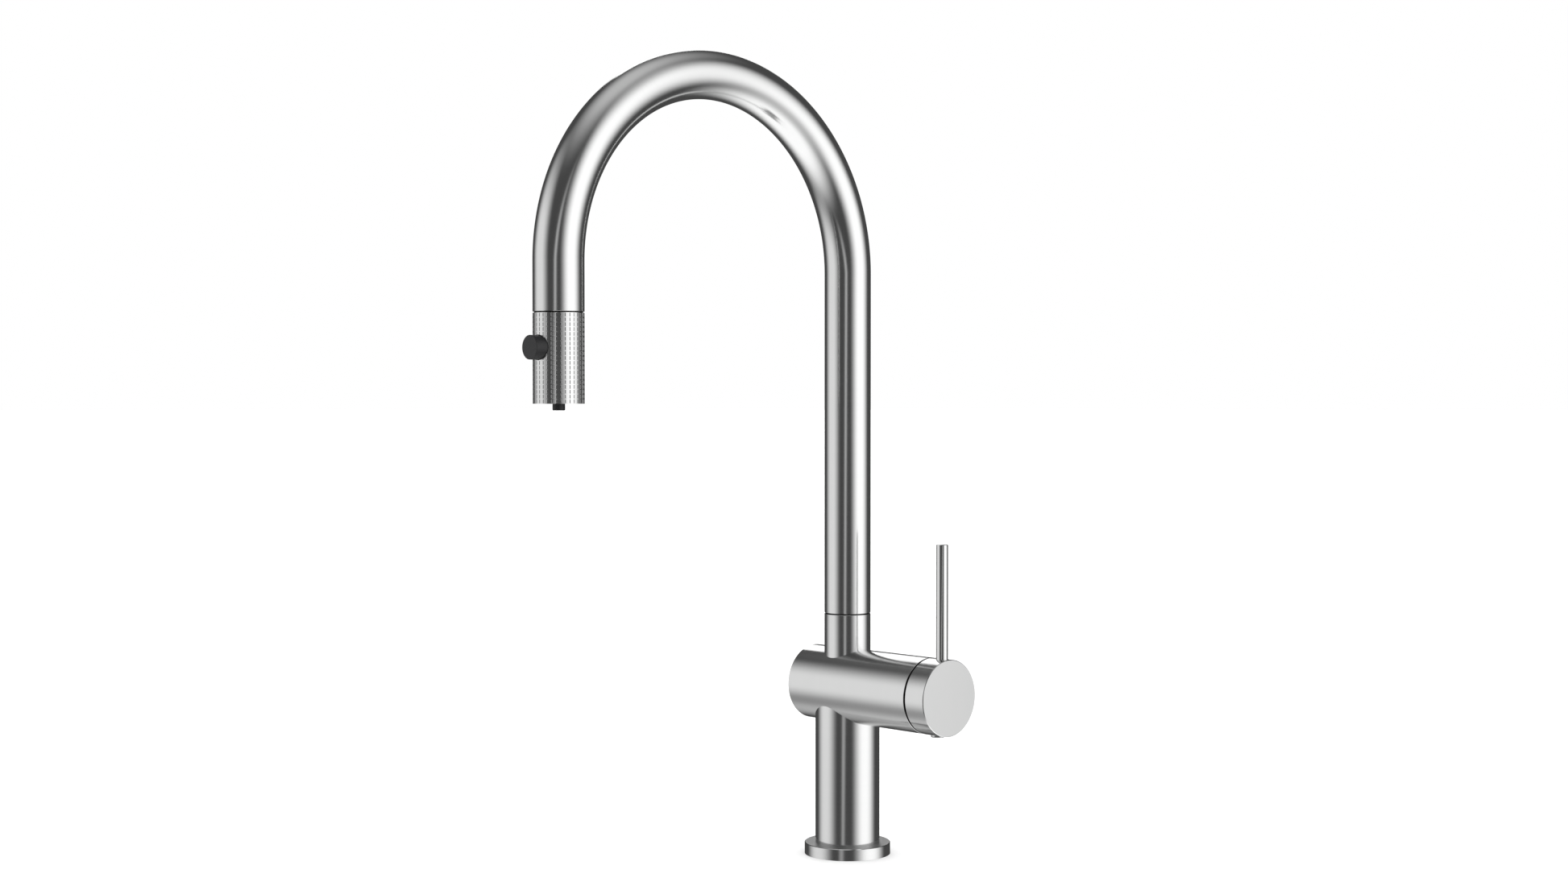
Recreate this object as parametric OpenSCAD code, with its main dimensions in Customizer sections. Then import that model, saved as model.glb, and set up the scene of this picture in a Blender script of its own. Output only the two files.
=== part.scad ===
// Single-lever kitchen mixer with a swivelling gooseneck and a pull-down spray head.
// Millimetres. +Z is up, z = 0 is the worktop and the underside of the base flange.
// The riser stands on the Z axis, the spout reaches along -Y and the lever sits on +X.

/* [Spout] */
// Outside diameter of the riser, the gooseneck and the spray head
tube_d = 28; // [26:0.5:34]
// Wall of the spout tube
tube_wall = 1.5; // [1.2:0.1:2]
// Distance from the riser's axis to the spray head's axis
reach = 220; // [170:5:280]
// Height of the gooseneck's centre of bend
arch_z = 351.6; // [300:0.2:440]
// How far the dock seam lies below the centre of bend
dock_drop = 27.9; // [27.5:0.1:60]
// How far the swivel seam lies above the barrel's axis
stub_rise = 44; // [38:0.5:80]
// Height of the swivel seam and of the dock seam
seam_gap = 0.7; // [0.5:0.1:1]

/* [Body] */
// Outside diameter of the column
column_d = 39; // [38:0.5:47]
// Wall of the column
column_wall = 2; // [1.6:0.1:2.4]
// Outside diameter of the base flange
flange_d = 52; // [50:1:64]
// Thickness of the base flange
flange_h = 7; // [6:0.5:9]
// Outside diameter of the barrel and of the lever cap
barrel_d = 45; // [44:0.5:56]
// Wall of the barrel
barrel_wall = 2.5; // [2:0.1:3]
// Height of the barrel's axis
barrel_z = 102.4; // [96:0.2:140]
// How far the barrel runs to the left of the riser's axis
barrel_left = 28.7; // [26:0.1:40]
// How far the barrel's mouth lies to the right of the riser's axis
barrel_right = 68.3; // [67:0.1:84]

/* [Lever] */
// Width of the dark seam between the barrel and the cap
cap_gap = 1.4; // [1:0.1:2]
// Length of the cap along the barrel's axis
cap_len = 14.2; // [13:0.1:20]
// Thickness of the cap's flat face
cap_face = 2; // [1.5:0.1:2.2]
// Diameter of the lever rod
rod_d = 7; // [6:0.5:8]
// How far the rod's tip stands from the barrel's axis
rod_reach = 89.3; // [60:0.5:130]
// How far the rod's axis lies behind the cap's face
rod_inset = 5.9; // [5.8:0.1:7]
// Diameter of the plug over the grub screw
plug_d = 8; // [7:0.5:9]
// How far the plug's axis lies behind the cap's face
plug_inset = 9.2; // [9:0.1:10]
// How far the plug stands out of the cap
plug_proud = 1.1; // [0.6:0.1:2]

/* [Spray head] */
// Length of the head's steel shell
head_len = 48.95; // [46:0.1:70]
// Wall of the head's shell
head_wall = 1.3; // [1:0.1:1.6]
// Pitch of the rings round the shell
ring_pitch = 2.56; // [2:0.1:4]
// Depth of the rings
ring_depth = 0.12; // [0.05:0.01:0.3]
// Diameter of the button
button_d = 13.2; // [11:0.2:14]
// How far the button's axis lies below the head's top
button_drop = 18.75; // [18.5:0.1:24]
// How far the button stands out of the shell
button_proud = 5.6; // [3:0.1:8]
// How far the button can be pressed
button_travel = 2.2; // [1:0.1:2.4]
// Diameter of the stream nozzle under the head
nozzle_d = 6.8; // [6:0.2:8]
// How far the stream nozzle stands out of the head
nozzle_proud = 3.7; // [1:0.1:8]
// Number of nozzles in the spray ring
jet_count = 16; // [8:1:20]

/* [Hose] */
// Outside diameter of the spray hose
hose_d = 11; // [9:0.5:11.5]
// Wall of the spray hose
hose_wall = 2.2; // [1.6:0.1:2.6]

/* [Under the worktop] */
// Outside diameter of the threaded shank
shank_d = 33; // [32.5:0.5:34]
// Wall of the shank
shank_wall = 2.2; // [2:0.1:2.4]
// Length of the shank below the worktop's surface
shank_len = 60; // [50:1:90]
// Thickness of the worktop that the nut is drawn on
worktop_t = 30; // [5:1:40]
// Width of the mounting nut across its flats
nut_af = 42; // [41:1:46]

/* [Fits] */
// Radial clearance where one piece turns or slides in another
run_fit = 0.05; // [0.03:0.01:0.08]
// Gap between neighbours that move past each other
free_gap = 0.3; // [0.2:0.05:0.4]

/* [Hidden] */
$fn = 96;

// Overshoot of a cutting tool past the face that it cuts
cut = 1;
// Small edge chamfer on turned steel
edge = 0.35;

// Spout
tube_r = tube_d / 2;
tube_in_r = tube_r - tube_wall;
arch_r = reach / 2;
swivel_z = barrel_z + stub_rise;
stub_top_z = swivel_z - seam_gap / 2;
riser_z = swivel_z + seam_gap / 2;
dock_z = arch_z - dock_drop;
tip_z = dock_z + seam_gap / 2;
head_top_z = dock_z - seam_gap / 2;
// Depth of a dark seam below the tube's surface
seam_depth = 0.8;

// Swivel joint: a fixed spigot inside a plastic bush in the riser
bush_wall = 1.95;
spigot_r = tube_in_r - bush_wall - run_fit;
spigot_wall = 1.5;
spigot_foot_z = stub_top_z - 18;
spigot_top_z = swivel_z + 36;
bush_len = 31;
clip_z = swivel_z + 22;
clip_h = 2;
clip_depth = 0.8;

// Column, barrel and flange
column_r = column_d / 2;
column_in_r = column_r - column_wall;
barrel_r = barrel_d / 2;
barrel_in_r = barrel_r - barrel_wall;
flange_r = flange_d / 2;
// Depth of the recess in the flange that the column stands in
column_seat = 2;
column_foot_z = flange_h - column_seat;
end_cap_t = 4;
seal_h = 2;
seal_in_r = flange_r - 7;
seal_out_r = flange_r - 3.5;

// Shank and what clamps the worktop
shank_r = shank_d / 2;
shank_in_r = shank_r - shank_wall;
shank_top_z = column_foot_z + 10;
shank_foot_z = -shank_len;
rubber_t = 3;
steel_t = 2;
nut_t = 9;
washer_r = 27;
washer_gap = 0.3;

// Manifold: the hose's passage in the middle, two inlet ports and one outlet port round it
port_r = 3.5;
port_offset = shank_in_r - port_r - 0.5;
port_depth = 14;
channel_r = 2;
pipe_r = 3;
pipe_wall = 1;
pipe_bend_r = 8;
manifold_top_z = shank_top_z + 30;
hose_r = hose_d / 2;
hose_in_r = hose_r - hose_wall;
outlet_r = 3.2;

// Cartridge, counted along the barrel from its seat
seat_x = 16;
seat_t = 14;
base_seal_x = seat_x + seat_t;
base_seal_t = 1.5;
housing_x = base_seal_x + base_seal_t;
housing_r = 17.5;
housing_in_r = 13;
housing_floor = 4;
housing_len = 24.5;
housing_front = 4;
disc_x = housing_x + housing_floor;
disc_t = 4;
disc_r = 12.9;
disc_lift = 0.05;
moving_x = disc_x + disc_t + disc_lift;
carrier_x = moving_x + disc_t;
carrier_t = 6;
carrier_r = 12.4;
glide_x = carrier_x + carrier_t + disc_lift;
housing_end_x = housing_x + housing_len;
housing_lip_x = housing_end_x - housing_front;
stem_r = 7;
spline_r = 5;
spline_x = housing_end_x + 8;
nut_x = housing_end_x;
cart_nut_t = 6;
// The mixed water leaves the seat this far below the cartridge's axis
mixed_drop = 11;

// Lever
cap_x = barrel_right + cap_gap;
cap_end_x = cap_x + cap_len;
cap_wall = 2.5;
cap_in_r = barrel_r - cap_wall;
cap_floor_x = cap_end_x - cap_face;
insert_x = cap_x + 0.8;
stem_end_x = cap_floor_x - 2.4;
rod_r = rod_d / 2;
rod_x = cap_end_x - rod_inset;
plug_x = cap_end_x - plug_inset;
rod_spigot_r = 3;
rod_spigot_len = 6;
rod_seat = spline_r + 1 + rod_spigot_len;
grub_r = 2.5;
grub_len = 8;
plug_stem_r = 2.8;
glide_lip = 0.9;
glide_play = 0.3;

// Spray head
head_foot_z = head_top_z - head_len;
head_in_r = tube_r - head_wall;
button_z = head_top_z - button_drop;
button_r = button_d / 2;
button_hole_r = button_r + free_gap;
button_lip_r = button_hole_r + 0.4;
button_lip_t = 1;
button_lip_y = sqrt(head_in_r * head_in_r - button_lip_r * button_lip_r) - free_gap;
button_back_y = button_lip_y - button_lip_t;
button_face_y = tube_r + button_proud;
pocket_r = button_lip_r + free_gap;
pocket_floor_y = button_back_y - 3 - button_travel;
spool_r = 3;
spool_len = 14;
nozzle_r = nozzle_d / 2;
face_recess = 0.8;
face_t = 4;
face_z = head_foot_z + face_recess;
jet_plate_t = 1.2;
core_foot_z = face_z + face_t + jet_plate_t;
core_top_z = head_top_z - 2;
jet_r = 1;
jet_circle_r = 9.4;
inlet_r = 8;
inlet_foot_z = head_top_z - 11;
inlet_top_z = head_top_z + 8;
inlet_bore_r = 4.4;
hose_seal_t = 1.2;
tail_flange_t = 1.4;
tail_z = inlet_top_z + hose_seal_t;
nut_top_z = tail_z + tail_flange_t + 1.6;
hose_nut_r = inlet_r + 2.2;
ferrule_t = 0.9;
ferrule_z = tail_z + tail_flange_t;
ferrule_len = 10;
dock_bore_r = hose_nut_r + 0.4;
dock_throat_r = hose_r + ferrule_t + 0.6;
dock_throat_z = nut_top_z + 0.8;
dock_end_z = ferrule_z + ferrule_len + 3.4;
pull_hose_z = dock_end_z + 0.6;
// Where the gooseneck's hose hands over to the body's hose, above the spigot
hose_split_z = spigot_top_z + 1;
hose_split_gap = 0.3;
hose_foot_z = shank_foot_z - 4;

// A tube that stands on the Z axis
module tube_z(r_out, r_in, z0, z1) {
    translate([0, 0, z0])
        difference() {
            cylinder(r = r_out, h = z1 - z0);
            translate([0, 0, -cut])
                cylinder(r = r_in, h = z1 - z0 + 2 * cut);
        }
}

// A solid round bar that stands on the Z axis
module bar_z(r, z0, z1) {
    translate([0, 0, z0])
        cylinder(r = r, h = z1 - z0);
}

// A solid round bar along the barrel's axis
module bar_x(r, x0, x1) {
    translate([x0, 0, barrel_z])
        rotate([0, 90, 0])
            cylinder(r = r, h = x1 - x0);
}

// A bar along the barrel, off its axis by y and z
module side_bar_x(r, x0, x1, y, z) {
    translate([0, y, z])
        bar_x(r, x0, x1);
}

// A tube along the barrel's axis
module tube_x(r_out, r_in, x0, x1) {
    difference() {
        bar_x(r_out, x0, x1);
        bar_x(r_in, x0 - cut, x1 + cut);
    }
}

// A bar in the spray head that points at the user, y counted from the head's axis
module bar_front(r, y0, y1) {
    translate([0, -y1, button_z])
        rotate([-90, 0, 0])
            cylinder(r = r, h = y1 - y0);
}

// Places its children on the spray head's axis
module at_head() {
    translate([0, -reach, 0])
        children();
}

// A ring profile, for tubes that are swept or revolved
module ring_profile(r_out, r_in) {
    difference() {
        circle(r = r_out);
        circle(r = r_in);
    }
}

// The half circle of the gooseneck, from the riser over to the spray head
module arch(r_out, r_in) {
    translate([0, -arch_r, arch_z])
        rotate([90, 0, 90])
            rotate_extrude(angle = 180)
                translate([arch_r, 0])
                    ring_profile(r_out, r_in);
}

// The places round the manifold: 0 is the outlet, 1 hot and -1 cold
module at_port(i) {
    rotate([0, 0, 90 * i])
        translate([port_offset, 0, 0])
            children();
}

// A water pipe that rises from the manifold and turns into the cartridge's seat
module water_pipe(x, y, z_end, bend_r) {
    translate([x, y, 0]) {
        tube_z(pipe_r, pipe_r - pipe_wall, manifold_top_z, z_end - bend_r);
        translate([bend_r, 0, z_end - bend_r])
            rotate([90, 0, 0])
                rotate([0, 0, 90])
                    rotate_extrude(angle = 90)
                        translate([bend_r, 0])
                            ring_profile(pipe_r, pipe_r - pipe_wall);
        if (seat_x - x - bend_r > 0.01)
            translate([bend_r, 0, z_end])
                rotate([0, 90, 0])
                    tube_z(pipe_r, pipe_r - pipe_wall, 0, seat_x - x - bend_r);
    }
}

// ---- Fixed body ----

// Column of the welded body: its upper end is cut to the barrel's round side
module column() {
    color("silver")
        difference() {
            tube_z(column_r, column_in_r, column_foot_z, barrel_z);
            bar_x(barrel_r, -column_r - cut, column_r + cut);
        }
}

module barrel() {
    color("silver")
        difference() {
            tube_x(barrel_r, barrel_in_r, -barrel_left, barrel_right);
            bar_z(column_in_r, barrel_z - barrel_r - cut, barrel_z);
            bar_z(tube_in_r, barrel_z, barrel_z + barrel_r + cut);
        }
}

// Stub that the swivelling riser stands on
module riser_stub() {
    color("silver")
        difference() {
            tube_z(tube_r, tube_in_r, barrel_z, stub_top_z);
            bar_x(barrel_r, -tube_r - cut, tube_r + cut);
        }
}

// Disc that closes the barrel's left end
module barrel_end_cap() {
    color("silver")
        bar_x(barrel_in_r, -barrel_left, -barrel_left + end_cap_t);
}

module base_flange() {
    color("silver")
        difference() {
            union() {
                bar_z(flange_r, 0, flange_h - edge);
                translate([0, 0, flange_h - edge])
                    cylinder(r1 = flange_r, r2 = flange_r - edge, h = edge);
            }
            bar_z(shank_r + run_fit, -cut, flange_h + cut);
            bar_z(column_r, column_foot_z, flange_h + cut);
            tube_z(seal_out_r, seal_in_r, -cut, seal_h);
        }
}

module base_seal() {
    color("dimgray")
        tube_z(seal_out_r, seal_in_r, 0, seal_h);
}

module threaded_shank() {
    color("goldenrod")
        tube_z(shank_r, shank_in_r, shank_foot_z, shank_top_z);
}

module deck_rubber_washer() {
    color("dimgray")
        tube_z(washer_r, shank_r + washer_gap, -worktop_t - rubber_t, -worktop_t);
}

module deck_steel_washer() {
    color("silver")
        translate([0, 0, -worktop_t - rubber_t])
            tube_z(washer_r, shank_r + washer_gap, -steel_t, 0);
}

module mounting_nut() {
    color("goldenrod")
        translate([0, 0, -worktop_t - rubber_t - steel_t - nut_t])
            difference() {
                cylinder(d = nut_af / cos(30), h = nut_t, $fn = 6);
                translate([0, 0, -cut])
                    cylinder(r = shank_r, h = nut_t + 2 * cut);
            }
}

// Brass block in the foot of the column: takes the shank, the supply hoses and the outlet tube
module inlet_manifold() {
    color("goldenrod")
        difference() {
            bar_z(column_in_r, column_foot_z, manifold_top_z);
            bar_z(shank_r, column_foot_z - cut, shank_top_z);
            for (i = [-1, 0, 1])
                at_port(i) {
                    bar_z(port_r, shank_top_z - cut, shank_top_z + port_depth);
                    bar_z(channel_r, shank_top_z, manifold_top_z + cut);
                }
            bar_z(hose_r + free_gap, shank_top_z - cut, manifold_top_z + cut);
        }
}

module hot_pipe() {
    color("peru")
        water_pipe(0, port_offset, barrel_z, pipe_bend_r);
}

module cold_pipe() {
    color("peru")
        water_pipe(0, -port_offset, barrel_z, pipe_bend_r);
}

module mixed_pipe() {
    color("peru")
        water_pipe(port_offset, 0, barrel_z - mixed_drop, min(pipe_bend_r, seat_x - port_offset));
}

// Tube that takes the mixed water down to the quick coupling
module outlet_tube() {
    color("peru")
        at_port(0) {
            tube_z(port_r, channel_r, shank_top_z + 4, shank_top_z + port_depth);
            tube_z(outlet_r, channel_r, shank_foot_z - 30, shank_top_z + 4);
        }
}

// ---- Cartridge ----

// The three water ways through the cartridge's foot: hot, cold and mixed
module water_ways(r, x0, x1) {
    side_bar_x(r, x0, x1, port_offset, 0);
    side_bar_x(r, x0, x1, -port_offset, 0);
    side_bar_x(r, x0, x1, 0, -mixed_drop);
}

module cartridge_seat() {
    color("goldenrod")
        difference() {
            bar_x(barrel_in_r, seat_x, seat_x + seat_t);
            water_ways(channel_r, seat_x - cut, seat_x + seat_t + cut);
        }
}

module cartridge_base_seal() {
    color("dimgray")
        difference() {
            bar_x(housing_r - 1, base_seal_x, base_seal_x + base_seal_t);
            water_ways(channel_r + 0.6, base_seal_x - cut, base_seal_x + base_seal_t + cut);
        }
}

module cartridge_housing() {
    color("whitesmoke")
        difference() {
            bar_x(housing_r, housing_x, housing_end_x);
            bar_x(housing_in_r, disc_x, housing_lip_x);
            bar_x(stem_r + run_fit, housing_lip_x - cut, housing_end_x + cut);
            water_ways(channel_r, housing_x - cut, disc_x + cut);
        }
}

module fixed_ceramic_disc() {
    color("white")
        difference() {
            bar_x(disc_r, disc_x, disc_x + disc_t);
            water_ways(channel_r - 0.4, disc_x - cut, disc_x + disc_t + cut);
        }
}

module stem_glide_washer() {
    color("ivory")
        tube_x(carrier_r, stem_r + free_gap, glide_x, housing_lip_x);
}

module cartridge_nut() {
    color("goldenrod")
        difference() {
            bar_x(barrel_in_r, nut_x, nut_x + cart_nut_t);
            translate([nut_x - cut, 0, barrel_z])
                rotate([0, 90, 0])
                    cylinder(r = stem_r + 5, h = cart_nut_t + 2 * cut, $fn = 6);
        }
}

// Black ring in the barrel's mouth: its lip is the dark seam beside the cap
module cap_glide_ring() {
    color("black")
        union() {
            tube_x(barrel_in_r, barrel_in_r - 3, nut_x + cart_nut_t, barrel_right);
            tube_x(barrel_r - glide_lip, barrel_in_r - 3, barrel_right, cap_x - glide_play);
        }
}

// ---- Swivel ----

module swivel_spigot() {
    color("goldenrod")
        difference() {
            union() {
                bar_z(tube_in_r, spigot_foot_z, stub_top_z);
                bar_z(spigot_r, stub_top_z, spigot_top_z);
            }
            bar_z(spigot_r - spigot_wall, spigot_foot_z - cut, spigot_top_z + cut);
            tube_z(tube_r, spigot_r - clip_depth, clip_z, clip_z + clip_h);
        }
}

// Black ring that fills the swivel seam
module swivel_glide_ring() {
    color("black")
        tube_z(tube_r - seam_depth, spigot_r + run_fit, stub_top_z, riser_z - run_fit);
}

// Split ring that keeps the spout from being lifted off
module spout_retaining_ring() {
    color("silver")
        difference() {
            tube_z(spigot_r + clip_depth, spigot_r - clip_depth, clip_z + 0.1, clip_z + clip_h - 0.1);
            translate([0, -2, clip_z - cut])
                cube([tube_r, 4, clip_h + 2 * cut]);
        }
}

// ---- Hose inside the body ----

module body_hose() {
    color("dimgray")
        tube_z(hose_r, hose_in_r, hose_foot_z, hose_split_z - hose_split_gap);
}

// ---- Lever ----

module moving_ceramic_disc() {
    color("white")
        difference() {
            bar_x(carrier_r, moving_x, carrier_x);
            side_bar_x(6, moving_x - cut, moving_x + disc_t / 2, -3.5, -3.5);
        }
}

module cartridge_stem() {
    color("ivory")
        difference() {
            union() {
                bar_x(carrier_r, carrier_x, carrier_x + carrier_t);
                bar_x(stem_r, carrier_x + carrier_t, spline_x);
                translate([spline_x, 0, barrel_z])
                    rotate([0, 90, 0])
                        cylinder(r = spline_r, h = stem_end_x - spline_x, $fn = 12);
            }
            tube_x(stem_r + cut, stem_r - 1.6, housing_lip_x + 1, housing_lip_x + 2.8);
        }
}

module stem_o_ring() {
    color("dimgray")
        translate([housing_lip_x + 1.9, 0, barrel_z])
            rotate([0, 90, 0])
                rotate_extrude()
                    translate([stem_r - 0.8, 0])
                        circle(r = 0.75);
}

// Brass insert in the cap: carries the splined bore, the rod and the grub screw
module lever_insert() {
    color("goldenrod")
        difference() {
            bar_x(cap_in_r, insert_x, cap_floor_x);
            translate([insert_x - cut, 0, barrel_z])
                rotate([0, 90, 0])
                    cylinder(r = spline_r, h = stem_end_x - insert_x + cut, $fn = 12);
            translate([rod_x, 0, barrel_z]) {
                bar_z(rod_spigot_r, rod_seat - rod_spigot_len, rod_seat + cut);
                bar_z(rod_r, rod_seat, barrel_r);
            }
            translate([plug_x, 0, barrel_z])
                bar_z(grub_r, -barrel_r, 0);
        }
}

module lever_cap() {
    color("silver")
        difference() {
            union() {
                bar_x(barrel_r, cap_x, cap_end_x - edge);
                translate([cap_end_x - edge, 0, barrel_z])
                    rotate([0, 90, 0])
                        cylinder(r1 = barrel_r, r2 = barrel_r - edge, h = edge);
            }
            bar_x(cap_in_r, cap_x - cut, cap_floor_x);
            translate([rod_x, 0, barrel_z])
                bar_z(rod_r, cap_in_r - 1, barrel_r + cut);
            translate([plug_x, 0, barrel_z])
                bar_z(plug_stem_r, -barrel_r - cut, -cap_in_r + 1);
        }
}

module lever_rod() {
    color("silver")
        translate([rod_x, 0, barrel_z])
            union() {
                bar_z(rod_spigot_r, rod_seat - rod_spigot_len, rod_seat);
                bar_z(rod_r, rod_seat, rod_reach - edge);
                translate([0, 0, rod_reach - edge])
                    cylinder(r1 = rod_r, r2 = rod_r - edge, h = edge);
            }
}

module grub_screw() {
    color("dimgray")
        translate([plug_x, 0, barrel_z - spline_r - 0.1 - grub_len])
            difference() {
                cylinder(r = grub_r, h = grub_len);
                translate([0, 0, -cut])
                    cylinder(r = 1.4, h = 3 + cut, $fn = 6);
            }
}

// Plug over the grub screw: its head follows the cap's round side
module grub_screw_plug() {
    color("silver")
        union() {
            difference() {
                translate([plug_x, 0, barrel_z]) {
                    bar_z(plug_d / 2, -barrel_r - plug_proud + edge, -cap_in_r);
                    translate([0, 0, -barrel_r - plug_proud])
                        cylinder(r1 = plug_d / 2 - edge, r2 = plug_d / 2, h = edge);
                }
                bar_x(barrel_r, cap_x - cut, cap_end_x + cut);
            }
            translate([plug_x, 0, barrel_z])
                bar_z(plug_stem_r, -barrel_r - plug_proud / 2, -cap_in_r);
        }
}

// ---- Spout ----

module spout_tube() {
    color("silver")
        union() {
            tube_z(tube_r, tube_in_r, riser_z, arch_z);
            arch(tube_r, tube_in_r);
            at_head()
                tube_z(tube_r, tube_in_r, tip_z, arch_z);
        }
}

module spout_bush() {
    color("black")
        difference() {
            tube_z(tube_in_r, spigot_r + run_fit, riser_z, riser_z + bush_len);
            tube_z(spigot_r + clip_depth + free_gap, spigot_r - cut,
                clip_z - free_gap, clip_z + clip_h + free_gap);
        }
}

// Black guide in the spout's tip: the head docks in its bore, its lip fills the dock seam
module dock_bush() {
    color("black")
        at_head()
            difference() {
                union() {
                    bar_z(tube_in_r, tip_z, dock_end_z);
                    bar_z(tube_r - seam_depth, head_top_z + 0.15, tip_z);
                }
                bar_z(dock_bore_r, head_top_z - cut, dock_throat_z);
                bar_z(dock_throat_r, dock_throat_z - cut, dock_end_z + cut);
            }
}

module gooseneck_hose() {
    color("dimgray")
        union() {
            tube_z(hose_r, hose_in_r, hose_split_z, arch_z);
            arch(hose_r, hose_in_r);
            at_head()
                tube_z(hose_r, hose_in_r, pull_hose_z, arch_z);
        }
}

// ---- Spray head ----

// The stretch of hose that is drawn out of the spout with the head
module pull_hose() {
    color("dimgray")
        at_head()
            tube_z(hose_r, hose_in_r, ferrule_z, pull_hose_z);
}

module hose_ferrule() {
    color("silver")
        at_head()
            tube_z(hose_r + ferrule_t, hose_r, ferrule_z, ferrule_z + ferrule_len);
}

// Brass tail inside the hose's end
module hose_tail() {
    color("goldenrod")
        at_head()
            difference() {
                union() {
                    bar_z(inlet_r - 0.4, tail_z, tail_z + tail_flange_t);
                    bar_z(hose_in_r, tail_z, ferrule_z + ferrule_len);
                }
                bar_z(hose_in_r - 0.9, tail_z - cut, ferrule_z + ferrule_len + cut);
            }
}

module hose_nut() {
    color("goldenrod")
        at_head()
            difference() {
                bar_z(hose_nut_r, core_top_z, nut_top_z);
                bar_z(inlet_r, core_top_z - cut, ferrule_z);
                bar_z(hose_r + ferrule_t + 0.2, ferrule_z - cut, nut_top_z + cut);
            }
}

module hose_seal() {
    color("dimgray")
        at_head()
            tube_z(inlet_r - 0.4, inlet_bore_r, inlet_top_z, tail_z);
}

module spray_inlet() {
    color("goldenrod")
        at_head()
            tube_z(inlet_r, inlet_bore_r, inlet_foot_z, inlet_top_z);
}

// Non-return valve pressed into the inlet
module check_valve() {
    color("ivory")
        at_head()
            difference() {
                bar_z(inlet_bore_r, inlet_foot_z + 2, inlet_top_z - 2);
                bar_z(inlet_bore_r - 1.2, inlet_foot_z + 2 - cut, inlet_top_z - 5);
                bar_z(inlet_bore_r - 2.4, inlet_top_z - 6, inlet_top_z);
            }
}

// Black core: water ways, the diverter's bore and the button's pocket
module spray_core() {
    color("black")
        at_head()
            difference() {
                bar_z(head_in_r, core_foot_z, core_top_z);
                bar_z(inlet_r, inlet_foot_z, core_top_z + cut);
                bar_z(2.4, button_z, inlet_foot_z + cut);
                bar_z(2, core_foot_z - cut, button_z);
                translate([0, 6, 0])
                    bar_z(1.2, core_foot_z - cut, button_z);
                bar_front(pocket_r, pocket_floor_y, tube_r);
                bar_front(spool_r + run_fit, -8, pocket_floor_y + cut);
            }
}

module spray_shell() {
    ring_count = floor((head_len - 2 * ring_pitch) / ring_pitch) + 1;
    first_ring_z = head_foot_z + (head_len - (ring_count - 1) * ring_pitch) / 2;
    color("silver")
        at_head()
            difference() {
                tube_z(tube_r, head_in_r, head_foot_z, head_top_z);
                for (i = [0 : ring_count - 1])
                    translate([0, 0, first_ring_z + i * ring_pitch])
                        tube_z(tube_r + cut, tube_r - ring_depth, -0.15, 0.15);
                bar_front(button_hole_r, head_in_r / 2, tube_r + cut);
            }
}

module spray_face() {
    color("black")
        at_head()
            difference() {
                bar_z(head_in_r, face_z, face_z + face_t);
                bar_z(nozzle_r, face_z - cut, face_z + face_t + cut);
                for (i = [0 : jet_count - 1])
                    rotate([0, 0, 360 * i / jet_count])
                        translate([jet_circle_r, 0, 0])
                            bar_z(jet_r, face_z - cut, face_z + face_t + cut);
            }
}

// Soft plate whose nozzles come through the face
module spray_jets() {
    color("gray")
        at_head()
            difference() {
                union() {
                    bar_z(head_in_r, face_z + face_t, core_foot_z);
                    for (i = [0 : jet_count - 1])
                        rotate([0, 0, 360 * i / jet_count])
                            translate([jet_circle_r, 0, 0])
                                bar_z(jet_r, face_z - 0.4, face_z + face_t);
                }
                bar_z(nozzle_r, face_z + face_t - cut, core_foot_z + cut);
                for (i = [0 : jet_count - 1])
                    rotate([0, 0, 360 * i / jet_count])
                        translate([jet_circle_r, 0, 0])
                            bar_z(0.4, face_z - cut, core_foot_z + cut);
            }
}

module stream_nozzle() {
    color("black")
        at_head()
            difference() {
                union() {
                    bar_z(nozzle_r, head_foot_z - nozzle_proud + edge, core_foot_z);
                    translate([0, 0, head_foot_z - nozzle_proud])
                        cylinder(r1 = nozzle_r - edge, r2 = nozzle_r, h = edge);
                }
                bar_z(nozzle_r - 1.2, head_foot_z - nozzle_proud - cut, core_foot_z + cut);
            }
}

// ---- Button ----

module spray_button() {
    color("black")
        at_head()
            union() {
                bar_front(button_r, button_back_y, button_face_y);
                bar_front(button_lip_r, button_back_y, button_back_y + button_lip_t);
            }
}

module diverter_spool() {
    color("ivory")
        at_head()
            difference() {
                bar_front(spool_r, button_back_y - spool_len, button_back_y);
                for (y = [3, 7])
                    difference() {
                        bar_front(spool_r + cut, button_back_y - spool_len + y, button_back_y - spool_len + y + 1.2);
                        bar_front(spool_r - 1.1, button_back_y - spool_len, button_back_y);
                    }
            }
}

module spool_o_rings() {
    color("dimgray")
        at_head()
            for (y = [3, 7])
                translate([0, spool_len - button_back_y - y - 0.6, button_z])
                    rotate([90, 0, 0])
                        rotate_extrude()
                            translate([spool_r - 0.55, 0])
                                circle(r = 0.52);
}

// Three turns of the return spring, as closed rings
module button_spring() {
    color("silver")
        at_head()
            for (i = [0 : 2])
                translate([0, -pocket_floor_y - 0.5 - i * 2, button_z])
                    rotate([90, 0, 0])
                        rotate_extrude()
                            translate([spool_r + 1.7, 0])
                                circle(r = 0.45);
}

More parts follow.
